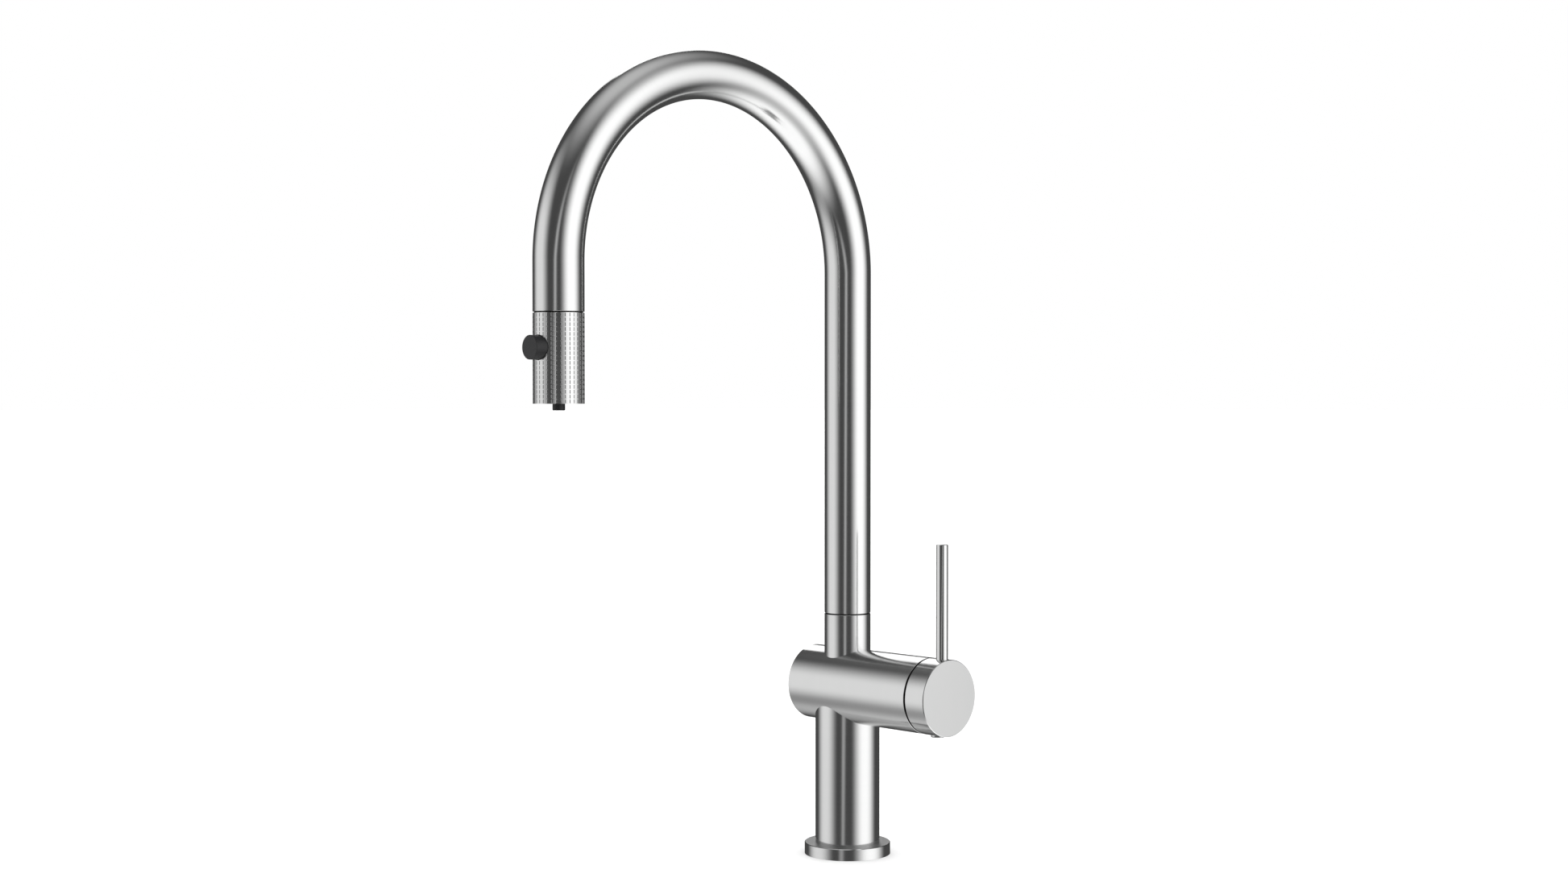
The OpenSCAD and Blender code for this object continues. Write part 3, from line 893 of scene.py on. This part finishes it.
@dataclass
class Studio:
    """Pale floor, soft light and the softboxes that the steel reflects.

    The two bands are where the floor's bounce fades out and the ceiling's light fades in, in
    degrees above the horizon. The lamp's angle is in degrees too, and the floor's size in metres.
    """

    ambient: float = 0.07
    backdrop: float = 1.0
    bounce: float = 1.22
    bounce_band: tuple = (-70, -27)
    ceiling: float = 0.52
    ceiling_band: tuple = (38, 84)
    lamp_angle: float = 140.0
    lamp_energy: float = 3.9
    floor_radius: float = 30.0
    floor_steps: int = 96
    softboxes: tuple = (
        Softbox(bearing=21, height=6, half_width=32.5, half_height=37, soft=0.68, strength=1.25),
        Softbox(bearing=-130, height=3.5, half_width=30.5, half_height=32, soft=0.64, strength=0.8),
        Softbox(
            bearing=-54, height=5, half_width=5, half_height=22, soft=0.9, strength=0.46, lean=0.6
        ),
        Softbox(
            bearing=132, height=27.5, half_width=11, half_height=12.5, soft=0.05, strength=1.4,
            squareness=8.0, lean=0.38,
        ),
    )

    def _patch(self, desk: NodeDesk, x: Val, y: Val, height: Val, box: Softbox) -> Val:
        """The brightness of one softbox over all directions.

        Args:
            desk: the world's node desk.
            x: direction's x.
            y: direction's y.
            height: direction's angle above the horizon, in degrees.
            box: the softbox.

        Returns:
            Its brightness.
        """
        c, s = math.cos(math.radians(box.bearing)), math.sin(math.radians(box.bearing))
        off = (y * c - x * s).angle_from(x * c + y * s) * math.degrees(1.0)
        across = abs(off - height * box.lean) / box.half_width
        up = abs(height - box.height) / box.half_height
        out = (across**box.squareness + up**box.squareness) ** (1.0 / box.squareness)
        return out.ramp(1.0 - box.soft, 1.0 + box.soft, box.strength, 0.0)

    def _surroundings(self) -> None:
        """The world: a white backdrop to the camera; softboxes, floor and ceiling to the rest."""
        world = bpy.data.worlds.new("studio")
        world.use_nodes = True
        bpy.context.scene.world = world
        desk = NodeDesk(world.node_tree)
        x, y, z = desk.axes(desk.add("ShaderNodeTexCoord").outputs["Generated"])
        height = z.arc_sine() * math.degrees(1.0)
        total = height.ramp(*self.bounce_band, self.bounce, 0.0)
        total = total + height.ramp(*self.ceiling_band, 0.0, self.ceiling) + self.ambient
        for box in self.softboxes:
            total = total + self._patch(desk, x, y, height, box)
        seen = desk.val(desk.add("ShaderNodeLightPath"), "Is Camera Ray")
        level = total * (1.0 - seen) + seen * self.backdrop
        back = desk.add("ShaderNodeBackground", None, {"Color": (1, 1, 1, 1), "Strength": level})
        desk.add("ShaderNodeOutputWorld", None, {"Surface": back.outputs[0]})

    def _overhead(self) -> None:
        """A very wide light above, for the floor and dull pieces; the steel doesn't mirror it."""
        data = bpy.data.lights.new("overhead", "SUN")
        data.angle = math.radians(self.lamp_angle)
        data.energy = self.lamp_energy
        lamp = bpy.data.objects.new("overhead", data)
        lamp.visible_glossy = False
        bpy.context.scene.collection.objects.link(lamp)

    def _floor(self) -> None:
        """The floor: a wide disc whose top is the worktop."""
        mesh = bpy.data.meshes.new("floor")
        rim = [tuple(point) for point in circle(self.floor_radius, 0.0, self.floor_steps)]
        mesh.from_pydata(rim, [], [list(range(self.floor_steps))])
        mesh.materials.append(PaleFloor("floor_pale").material())
        floor = bpy.data.objects.new("floor", mesh)
        bpy.context.scene.collection.objects.link(floor)
        floor.visible_glossy = False

    def build(self) -> None:
        """Set the surroundings, the light, the floor and the plain view transform."""
        self._surroundings()
        self._overhead()
        self._floor()
        view = bpy.context.scene.view_settings
        view.view_transform = "Standard"
        view.look = "None"


@dataclass
class Gooseneck:
    """The swivelling spout: riser, half circle and the leg that the spray head docks in."""

    wall: float = 1.5 * MM
    edge: float = 0.15 * MM
    over_bush: float = 0.55 * MM
    round_steps: int = 128
    riser_steps: int = 8
    bend_steps: int = 144
    leg_steps: int = 3

    def _line(self) -> tuple[float, list]:
        """The tube's course.

        Returns:
            The tube's radius, and its stations: the centre, the outward direction in the bend's
            plane, and the length so far.
        """
        low, high = box_of("spout_tube")
        radius = (high.x - low.x) / 2
        reach = abs(low.y) - radius
        bend = reach / 2
        crown = high.z - radius - bend
        tip = box_of("dock_bush")[0].z + self.over_bush
        riser = crown - low.z
        stations = []
        for k in range(self.riser_steps + 1):
            z = low.z + riser * k / self.riser_steps
            stations.append((Vector((0, 0, z)), Vector((0, 1, 0)), z - low.z))
        for k in range(1, self.bend_steps + 1):
            a = math.pi * k / self.bend_steps
            out = Vector((0, math.cos(a), math.sin(a)))
            stations.append((Vector((0, -bend, crown)) + bend * out, out, riser + a * bend))
        for k in range(1, self.leg_steps + 1):
            z = crown + (tip - crown) * k / self.leg_steps
            run = riser + math.pi * bend + crown - z
            stations.append((Vector((0, -reach, z)), Vector((0, -1, 0)), run))
        return radius, stations

    def _ring(self, centre: Vector, out: Vector, radius: float) -> list:
        """One ring of points round the tube."""
        side = Vector((1, 0, 0))
        turns = [TAU * i / self.round_steps for i in range(self.round_steps)]
        return [centre + radius * (math.cos(a) * side + math.sin(a) * out) for a in turns]

    def build(self) -> None:
        """Sweep the tube's wall and place it."""
        radius, stations = self._line()
        rings, heights = [], []
        last = len(stations) - 1
        for k, (centre, out, run) in enumerate(stations):
            if k in (0, last):
                inward = (stations[1 if k == 0 else last - 1][0] - centre).normalized()
                mouth = self._ring(centre, out, radius - self.edge)
                full = self._ring(centre + inward * self.edge, out, radius)
                rings.extend([mouth, full] if k == 0 else [full, mouth])
                heights.extend([run, run])
            else:
                rings.append(self._ring(centre, out, radius))
                heights.append(run)
        for centre, out, run in reversed(stations):
            rings.append(self._ring(centre, out, radius - self.wall))
            heights.append(run)
        skin = Skin().rings(rings, heights, closed=True)
        place(skin.build("gooseneck_tube", [STEEL_TUBE]), "spout", ["spout_tube"], "brushed_steel")


def only_first(corner: int) -> int:
    """The second finish on the faces after an outline's first corner, and the first elsewhere."""
    return 1 if corner == 0 else 0


@dataclass
class WeldedBody:
    """Column, barrel and riser stub, whose junctions are crisp."""

    steps: int = 192
    barrel_edge: float = 0.12 * MM
    stub_edge: float = 0.15 * MM
    column_wall: float = 2.0 * MM
    stub_wall: float = 1.5 * MM
    sink: float = 0.5 * MM

    def build(self) -> None:
        """Make the barrel with its closed left end, the column and the riser stub."""
        low, high = box_of("barrel")
        radius = (high.z - low.z) / 2
        height = (high.z + low.z) / 2
        cap_low, cap_high = box_of("barrel_end_cap")
        bore = (cap_high.z - cap_low.z) / 2
        edge = self.barrel_edge
        outline = [
            (0.0, low.x), (radius - edge, low.x), (radius, low.x + edge),
            (radius, high.x - edge), (radius - edge, high.x), (bore, high.x),
            (bore, cap_high.x), (0.0, cap_high.x),
        ]
        skin = Skin().lathe(outline, along_x(0, height), self.steps, False, only_first)
        barrel = skin.build("barrel_tube", [STEEL_X, STEEL_FACE])
        place(barrel, "body", ["barrel", "barrel_end_cap"], "brushed_steel")
        self._upright("column", "column_tube", radius, height, below=True)
        self._upright("riser_stub", "stub_tube", radius, height, below=False)

    def _upright(self, node: str, name: str, barrel: float, height: float, below: bool) -> None:
        """A vertical tube whose one end follows the barrel's round side, sunk a little into it.

        Args:
            node: the CAD node that it stands for.
            name: the piece's name.
            barrel: the barrel's radius.
            height: the barrel's axis height.
            below: whether the tube stands below the barrel.
        """
        low, high = box_of(node)
        radius = (high.x - low.x) / 2
        wall = self.column_wall if below else self.stub_wall
        edge = 0.0 if below else self.stub_edge
        sign = -1.0 if below else 1.0
        plain = low.z if below else high.z
        sunk = barrel - self.sink

        def saddle(r: float) -> list:
            """A ring that follows the barrel."""
            ring = circle(r, height, self.steps)
            for point in ring:
                point.z += sign * math.sqrt(max(sunk * sunk - point.y * point.y, 0.0))
            return ring

        rings = [circle(radius, plain - sign * edge, self.steps)]
        if edge:
            rings.insert(0, circle(radius - edge, plain, self.steps))
        rings += [saddle(radius), saddle(radius - wall), circle(radius - wall, plain, self.steps)]
        heights = [abs(plain - ring[0].z) for ring in rings]
        skin = Skin().rings(rings, heights, closed=True)
        place(skin.build(name, [STEEL_Z]), "body", [node], "brushed_steel")


@dataclass
class BaseFlange:
    """The round flange on the worktop, with its narrow bevel."""

    bevel: float = 0.35 * MM
    recess: float = 2.0 * MM
    shank_gap: float = 0.05 * MM
    seal_width: float = 3.5 * MM
    steps: int = 192

    def build(self) -> None:
        """Turn the flange with its recesses; the faces after its third corner are its top."""
        low, high = box_of("base_flange")
        radius = (high.x - low.x) / 2
        shank = box_of("threaded_shank")[1].x + self.shank_gap
        column = box_of("column")[1].x
        seal = box_of("base_seal")[1]
        inner = seal.x - self.seal_width
        floor = high.z - self.recess
        outline = [
            (radius, 0.0), (radius, high.z - self.bevel), (radius - self.bevel, high.z),
            (column, high.z), (column, floor), (shank, floor), (shank, 0.0), (inner, 0.0),
            (inner, seal.z), (seal.x, seal.z), (seal.x, 0.0),
        ]
        # The top's finish carries painted shade in its darker tone.
        skin = Skin().lathe(outline, standing(), self.steps, True, lambda k: 1 if k == 2 else 0)
        flange = skin.build("flange_turned", [STEEL_Z, STEEL_TURNED_SHADED_TOP])
        place(flange, "body", ["base_flange"], "brushed_steel")


@dataclass
class LeverSet:
    """The cap at the barrel's mouth, its rod and the plug over its set screw."""

    steps: int = 192
    rim: float = 0.35 * MM
    seam_edge: float = 0.12 * MM
    tip: float = 0.45 * MM
    neck_share: float = 0.86
    neck_depth: float = 4.0 * MM
    neck_slope: float = 0.2 * MM
    rod_steps: int = 96
    plug_steps: int = 64
    plug_sink: float = 0.3 * MM
    plug_outline: tuple = ((0.55, 0.0), (0.86, 0.0), (0.96, 0.12), (1.0, 0.4))

    def build(self) -> None:
        """Turn the cap and the rod, and shape the plug."""
        low, high = box_of("lever_cap")
        radius = (high.z - low.z) / 2
        height = (high.z + low.z) / 2
        insert_low, insert_high = box_of("lever_insert")
        bore = (insert_high.z - insert_low.z) / 2
        outline = [
            (0.0, high.x), (radius - self.rim, high.x), (radius, high.x - self.rim),
            (radius, low.x + self.seam_edge), (radius - self.seam_edge, low.x), (bore, low.x),
            (bore, insert_high.x), (0.0, insert_high.x),
        ]
        skin = Skin().lathe(outline, along_x(0, height), self.steps, False, only_first)
        cap = skin.build("lever_cap_turned", [STEEL_X, STEEL_FACE])
        place(cap, "lever", ["lever_cap"], "brushed_steel")
        self._rod(radius, height)
        self._plug(radius, height)

    def _rod(self, cap: float, height: float) -> None:
        """The straight rod, with a softened tip and a neck where it enters the cap."""
        low, high = box_of("lever_rod")
        radius = (high.x - low.x) / 2
        tip, neck = self.tip, radius * self.neck_share
        neck_top = height + cap - self.neck_depth
        outline = [
            (0.0, high.z), (radius - tip, high.z), (radius - tip * 0.3, high.z - tip * 0.3),
            (radius, high.z - tip), (radius, neck_top), (neck, neck_top - self.neck_slope),
            (neck, low.z), (0.0, low.z),
        ]
        skin = Skin().lathe(outline, standing((high.x + low.x) / 2), self.rod_steps, closed=False)
        place(skin.build("lever_rod_turned", [STEEL_ROD]), "lever", ["lever_rod"], "brushed_steel")

    def _plug(self, cap: float, height: float) -> None:
        """The plug's head: a round button whose top follows the cap's side.

        Args:
            cap: the cap's radius.
            height: the cap's axis height.
        """
        low, high = box_of("grub_screw_plug")
        x, radius = (low.x + high.x) / 2, (high.x - low.x) / 2
        proud = height - cap - low.z
        rings = [[Vector((x, 0, low.z))]]
        for share, rise in self.plug_outline:
            rings.append(circle(radius * share, low.z + rise * proud, self.plug_steps, x))
        sunk = cap - self.plug_sink
        rings.append(
            [Vector((p.x, p.y, height - math.sqrt(sunk * sunk - p.y * p.y))) for p in rings[-1]]
        )
        rings.append([Vector((x, 0, height - sunk))])
        skin = Skin().rings(rings, [STRIP * k for k in range(len(rings))])
        plug = skin.build("grub_plug_turned", [STEEL_Z])
        place(plug, "lever", ["grub_screw_plug"], "brushed_steel")


class NodeShape(NodeDesk):
    """A Geometry Nodes tree with named sizes, run once and turned into a plain mesh."""

    def __init__(self, name: str) -> None:
        """Start an empty tree.

        Args:
            name: the tree's name.
        """
        super().__init__(bpy.data.node_groups.new(name, "GeometryNodeTree"))
        self.tree.interface.new_socket(
            "Geometry", in_out="OUTPUT", socket_type="NodeSocketGeometry"
        )
        self.entry = self.add("NodeGroupInput")
        self.sizes: dict = {}

    def size(self, name: str, kind: str, value: object) -> Val:
        """Add a named input with its value.

        Args:
            name: the input's name.
            kind: Float, Int or Material.
            value: the value that the modifier gets.

        Returns:
            The input, for other nodes to read.
        """
        socket = self.tree.interface.new_socket(
            name, in_out="INPUT", socket_type="NodeSocket" + kind
        )
        self.sizes[socket.identifier] = value
        return self.val(self.entry, name)

    def run(self, geometry: bpy.types.NodeSocket, material: Val, name: str) -> bpy.types.Mesh:
        """Finish the tree, evaluate it once and take the mesh.

        Args:
            geometry: the geometry to output.
            material: the material input.
            name: the mesh's name.

        Returns:
            A plain mesh.
        """
        real = self.add("GeometryNodeRealizeInstances", None, {"Geometry": geometry})
        dressed = self.add(
            "GeometryNodeSetMaterial", None, {"Geometry": real.outputs[0], "Material": material}
        )
        self.add("NodeGroupOutput", None, [dressed.outputs[0]])
        holder = bpy.data.objects.new(name + "_maker", bpy.data.meshes.new(name + "_seed"))
        bpy.context.scene.collection.objects.link(holder)
        modifier = holder.modifiers.new("shape", "NODES")
        modifier.node_group = self.tree
        for identifier, value in self.sizes.items():
            modifier[identifier] = value
        mesh = plain_mesh(holder)
        mesh.name = name
        holder.modifiers.remove(modifier)
        bpy.data.objects.remove(holder)
        return mesh


def plain_mesh(owner: bpy.types.Object) -> bpy.types.Mesh:
    """A new mesh of an object with its modifiers applied."""
    bpy.context.view_layer.update()
    ready = owner.evaluated_get(bpy.context.evaluated_depsgraph_get())
    return bpy.data.meshes.new_from_object(ready)


WELD = 1e-6  # the sleeve's seam and rims meet within this, in metres
SAME_LINE = 0.25  # line numbers closer than this are the same line
PAD_LINES = (2.5, 0.75)  # a pad's two middle lines across, by their middle and how far they are


@dataclass
class KnurledSleeve:
    """The spray head's steel sleeve: pads between lengthwise grooves and narrow rings.

    The widths of a groove, of a ring and of a groove's run-out are shares of one pad. first is
    where the first groove stands, and crease the sharpest smooth corner, both in degrees.
    """

    columns: int = 35
    first: float = -2.0
    rows: int = 19
    groove: float = 0.16
    groove_depth: float = 0.19 * MM
    band: float = 0.2
    band_depth: float = 0.02 * MM
    run_out: float = 0.07
    crease: float = 12.0
    hole_margin: float = 0.4 * MM
    hole_from: float = 4.0 * MM
    hole_to: float = 24.0 * MM
    hole_steps: int = 96

    def _line_places(self, across: Val, places: Sequence[object]) -> tuple[Val, Val]:
        """Where the grid's lines stand, when each pad has the same few lines.

        Args:
            across: the number of each line, counted from 0.
            places: the place of each line of a pad, as a share of the pad.

        Returns:
            Which line of its pad each is, and where it stands, counted in pads.
        """
        lines = float(len(places))
        phase = across.modulo(lines)
        within: object = 0.0
        for number, at in enumerate(places):
            within = phase.near(float(number), SAME_LINE) * at + within
        return phase, (across / lines).floor() + within

    def _skin(self, radius: float, low: float, length: float, axis: Vector) -> bpy.types.Mesh:
        """The knurled outer skin, from a grid wrapped round the head's axis.

        Args:
            radius: the skin's radius.
            low: the height of its lower rim.
            length: its length.
            axis: a point on the head's axis.

        Returns:
            A tube without ends, inside or lids.
        """
        shape = NodeShape("knurled_skin")
        r = shape.size("Radius", "Float", radius)
        tall = shape.size("Length", "Float", length)
        columns = shape.size("Columns", "Int", self.columns)
        rows = shape.size("Rows", "Int", self.rows)
        groove = shape.size("Groove width", "Float", self.groove)
        groove_depth = shape.size("Groove depth", "Float", self.groove_depth)
        band = shape.size("Ring width", "Float", self.band)
        band_depth = shape.size("Ring depth", "Float", self.band_depth)
        first = shape.size("First groove", "Float", math.radians(self.first))
        finish = KnurledSteel("steel_knurled", axis_y=axis.y, radius=radius)
        steel = shape.size("Steel", "Material", finish.material())
        side, edge = groove * 0.5, band * 0.5
        start = edge + self.run_out
        turn_places = (0.0, side, 0.5, 1.0 - side)
        rise_places = (0.0, edge, start, 1.0 - start, 1.0 - edge)
        wide, high = columns * float(len(turn_places)), rows * float(len(rise_places))
        grid = shape.add(
            "GeometryNodeMeshGrid",
            None,
            {"Size X": wide, "Size Y": high, "Vertices X": wide + 1.0, "Vertices Y": high + 1.0},
        )
        x, y, _ = shape.axes(shape.add("GeometryNodeInputPosition").outputs[0])
        column_phase, turn = self._line_places((x + wide * 0.5).rounded(), turn_places)
        row_phase, rise = self._line_places((y + high * 0.5).rounded(), rise_places)
        angle = turn / columns * TAU + first
        in_groove = column_phase.near(0.0, SAME_LINE) * groove_depth * row_phase.near(*PAD_LINES)
        reach = r - in_groove - row_phase.near(0.0, SAME_LINE) * band_depth
        wrapped = shape.add(
            "ShaderNodeCombineXYZ",
            None,
            [
                reach * angle.cosine() + axis.x,
                reach * angle.sine() + axis.y,
                rise / rows * tall + low,
            ],
        )
        moved = shape.add(
            "GeometryNodeSetPosition",
            None,
            {"Geometry": grid.outputs[0], "Position": wrapped.outputs[0]},
        )
        joined = shape.add(
            "GeometryNodeMergeByDistance", None, {"Geometry": moved.outputs[0], "Distance": WELD}
        )
        return shape.run(joined.outputs[0], steel, "knurled_skin")

    def build(self) -> None:
        """Close the knurled skin with a bore, open it for the button and place it."""
        low, high = box_of("spray_shell")
        radius = (high.x - low.x) / 2
        axis = Vector((0.0, (low.y + high.y) / 2, 0.0))
        bore = (box_of("spray_face")[1].x - box_of("spray_face")[0].x) / 2
        mesh = self._skin(radius, low.z, high.z - low.z, axis)
        work = bmesh.new()
        work.from_mesh(mesh)
        loops = []
        for level in (low.z, high.z):
            rim = [
                edge
                for edge in work.edges
                if edge.is_boundary and all(abs(v.co.z - level) < WELD for v in edge.verts)
            ]
            made = bmesh.ops.extrude_edge_only(work, edges=rim)["geom"]
            for vert in (g for g in made if isinstance(g, bmesh.types.BMVert)):
                out = Vector((vert.co.x - axis.x, vert.co.y - axis.y, 0)).normalized() * bore
                vert.co = Vector((axis.x + out.x, axis.y + out.y, vert.co.z))
            loops += [g for g in made if isinstance(g, bmesh.types.BMEdge)]
        bmesh.ops.bridge_loops(work, edges=loops)
        work.to_mesh(mesh)
        work.free()
        sleeve = finished(mesh, "knurled_sleeve", self.crease)
        self._open_for_button(sleeve, axis)
        place(sleeve, "spray_head", ["spray_shell"], "brushed_steel")

    def _open_for_button(self, sleeve: bpy.types.Object, axis: Vector) -> None:
        """Cut the button's hole through the front of the sleeve.

        Args:
            sleeve: the closed sleeve.
            axis: a point on the head's axis.
        """
        low, high = box_of("spray_button")
        radius = (high.z - low.z) / 2 - self.hole_margin
        near, far = self.hole_from, self.hole_to
        outline = [(0, near), (radius, near), (radius, far), (0, far)]
        seat = towards_user(axis.y, (low.z + high.z) / 2)
        tool = Skin().lathe(outline, seat, self.hole_steps, closed=False)
        tool = tool.build("button_hole_tool", [STEEL_Z])
        modifier = sleeve.modifiers.new("hole", "BOOLEAN")
        modifier.operation = "DIFFERENCE"
        modifier.solver = "EXACT"
        modifier.object = tool
        cut = plain_mesh(sleeve)
        sleeve.modifiers.remove(modifier)
        old = sleeve.data
        sleeve.data = cut
        bpy.data.meshes.remove(old)
        bpy.data.objects.remove(tool)
        cut.set_sharp_from_angle(angle=math.radians(self.crease))


@dataclass
class SprayParts:
    """The black pieces of the spray head: the button and the stream nozzle."""

    button_edge: float = 0.14 * MM
    button_lip: float = 0.7 * MM
    lip_height: float = 1.0 * MM
    button_steps: int = 128
    nozzle_edge: float = 0.25 * MM
    nozzle_wall: float = 1.2 * MM
    flare_height: float = 0.4 * MM
    flare: float = 0.3 * MM
    nozzle_steps: int = 96

    def build(self) -> None:
        """Turn the button and the nozzle."""
        self._button()
        self._nozzle()

    def _button(self) -> None:
        """The push button: flat face, crisp edge, a collar inside the sleeve."""
        low, high = box_of("spray_button")
        lip = (high.x - low.x) / 2
        radius, edge = lip - self.button_lip, self.button_edge
        thick = high.y - low.y
        outline = [
            (0.0, thick), (radius - edge, thick), (radius, thick - edge),
            (radius, self.lip_height), (lip, self.lip_height), (lip, 0.0), (0.0, 0.0),
        ]
        seat = towards_user(high.y, (low.z + high.z) / 2)
        skin = Skin().lathe(outline, seat, self.button_steps, closed=False)
        button = skin.build("button_moulded", [BLACK])
        place(button, "button", ["spray_button"], "black_plastic")

    def _nozzle(self) -> None:
        """The stream nozzle under the head, with its bore."""
        low, high = box_of("stream_nozzle")
        radius, edge = (high.x - low.x) / 2, self.nozzle_edge
        bore = radius - self.nozzle_wall
        outline = [
            (radius - edge, low.z), (radius, low.z + edge), (radius, high.z), (bore, high.z),
            (bore, low.z + self.flare_height), (bore + self.flare, low.z),
        ]
        seat = standing(0, (low.y + high.y) / 2)
        skin = Skin().lathe(outline, seat, self.nozzle_steps, closed=True)
        nozzle = skin.build("stream_nozzle_moulded", [BLACK])
        place(nozzle, "spray_head", ["stream_nozzle"], "black_plastic")


@dataclass
class ScrewThreads:
    """Real helical threads on the shank under the worktop."""

    pitch: float = 1.5 * MM
    depth: float = 0.45 * MM
    rings_per_turn: int = 4
    steps: int = 72
    wall: float = 2.2 * MM
    chamfer: float = 0.8 * MM
    thread_top: float = -1.0 * MM
    crease: float = 20.0

    def _thread(self, radius: float, low: float, high: float) -> list:
        """Points of one helical crest and root, ring by ring.

        Args:
            radius: the crest's radius.
            low: where the thread starts.
            high: where it ends.

        Returns:
            Rings whose radius follows the helix.
        """
        rows = int((high - low) / (self.pitch / self.rings_per_turn)) + 1
        rings = []
        for k in range(rows + 1):
            z = low + (high - low) * k / rows
            fade = min(1.0, (z - low) / self.pitch, (high - z) / self.pitch)
            ring = circle(1.0, z, self.steps)
            for i, point in enumerate(ring):
                phase = (z / self.pitch - i / self.steps) % 1.0
                r = radius - self.depth * fade * abs(2.0 * phase - 1.0)
                point.x, point.y = point.x * r, point.y * r
            rings.append(ring)
        return rings

    def build(self) -> None:
        """Cut the shank's thread and its smooth spigot."""
        low, high = box_of("threaded_shank")
        radius = (high.x - low.x) / 2
        bore = radius - self.wall
        flat = ((bore, high.z), (bore, low.z), (radius - self.chamfer, low.z))
        run = [circle(r, z, self.steps) for r, z in flat]
        run += self._thread(radius, low.z + self.chamfer, self.thread_top)
        run.append(circle(radius, high.z, self.steps))
        skin = Skin().rings(run, [STRIP * k for k in range(len(run))], closed=True)
        shank = skin.build("shank_threaded", [BRASS], self.crease)
        place(shank, "body", ["threaded_shank"], "raw_brass")


@dataclass
class ButtonSpring:
    """The coil spring behind the button, wound by Geometry Nodes."""

    turns: int = 3
    wire: float = 0.45 * MM
    points_per_turn: int = 40
    section_points: int = 14
    crease: float = 40.0

    def build(self) -> None:
        """Sweep a wire along a spiral."""
        low, high = box_of("button_spring")
        radius = (high.z - low.z) / 2 - self.wire
        length = high.y - low.y - 2 * self.wire
        shape = NodeShape("button_spring_coil")
        coil = shape.size("Coil radius", "Float", radius)
        tall = shape.size("Length", "Float", length)
        turns = shape.size("Turns", "Float", float(self.turns))
        wire = shape.size("Wire radius", "Float", self.wire)
        steel = shape.size("Steel", "Material", PLAIN_STEEL.material())
        spiral = shape.add(
            "GeometryNodeCurveSpiral",
            None,
            {
                "Resolution": self.points_per_turn, "Rotations": turns,
                "Start Radius": coil, "End Radius": coil, "Height": tall,
            },
        )
        section = shape.add(
            "GeometryNodeCurvePrimitiveCircle",
            None,
            {"Resolution": self.section_points, "Radius": wire},
        )
        swept = shape.add(
            "GeometryNodeCurveToMesh",
            None,
            {"Curve": spiral.outputs[0], "Profile Curve": section.outputs[0], "Fill Caps": True},
        )
        mesh = shape.run(swept.outputs[0], steel, "spring_coil")
        axis_z = (low.z + high.z) / 2
        mesh.transform(towards_user(low.y + self.wire + length, axis_z))
        spring = finished(mesh, "button_spring_coil", self.crease)
        place(spring, "spray_head", ["button_spring"], "plain_steel")
        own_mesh(spring)


@dataclass
class PullHose:
    """The stretch of hose that follows the spray head out of the spout."""

    rows: int = 90
    steps: int = 48
    wall: float = 2.2 * MM

    def build(self) -> None:
        """Make the hose's wall in many short rings."""
        low, high = box_of("pull_hose")
        radius = (high.x - low.x) / 2
        axis_y = (low.y + high.y) / 2
        rises = [(high.z - low.z) * k / self.rows for k in range(self.rows + 1)]
        outline = [(radius, low.z + rise) for rise in rises]
        outline += [(radius - self.wall, high.z - rise) for rise in rises]
        skin = Skin().lathe(outline, standing(0, axis_y), self.steps, closed=True)
        braid = BraidedHose("braid_drawn_hose", axis=(0.0, axis_y))
        hose = skin.build("drawn_hose_braided", [braid])
        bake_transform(hose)
        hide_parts("pull_hose")
        LOG.info("%s bends between spray_head and spout", hose.name)


@dataclass
class CarriedNodes:
    """Finishes for the CAD nodes that are shown as they are."""

    finishes: dict = field(
        default_factory=lambda: {
            BRASS: [
                "mounting_nut", "inlet_manifold", "cartridge_seat", "cartridge_nut",
                "swivel_spigot", "lever_insert", "hose_tail", "hose_nut", "spray_inlet",
            ],
            COPPER: ["hot_pipe", "cold_pipe", "mixed_pipe", "outlet_tube"],
            PLAIN_STEEL: [
                "deck_steel_washer", "spout_retaining_ring", "grub_screw", "hose_ferrule",
            ],
            SEAL_BLACK: ["cap_glide_ring", "swivel_glide_ring", "dock_bush"],
            BLACK: ["spout_bush", "spray_core", "spray_face"],
            ACETAL: [
                "cartridge_housing", "stem_glide_washer", "cartridge_stem", "check_valve",
                "diverter_spool",
            ],
            RUBBER: [
                "base_seal", "deck_rubber_washer", "cartridge_base_seal", "stem_o_ring",
                "hose_seal", "spool_o_rings",
            ],
            SILICONE: ["spray_jets"],
            CERAMIC: ["fixed_ceramic_disc", "moving_ceramic_disc"],
            BraidedHose("braid_body_hose"): ["body_hose"],
            BraidedHose("braid_gooseneck_hose"): ["gooseneck_hose"],
        }
    )

    def build(self) -> None:
        """Dress every carried node."""
        for finish, names in self.finishes.items():
            for name in names:
                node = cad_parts[name]
                node.data.materials.clear()
                node.data.materials.append(finish.material())
                LOG.info("%s wears %s", name, finish.name)


def main() -> None:
    """Build everything in order."""
    Viewpoint().build()
    Studio().build()
    parts = (
        Gooseneck(), WeldedBody(), BaseFlange(), LeverSet(), KnurledSleeve(), SprayParts(),
        ScrewThreads(), ButtonSpring(), PullHose(), CarriedNodes(),
    )
    for part in parts:
        LOG.info("building %s", type(part).__name__)
        part.build()


if __name__ == "__main__":
    main()
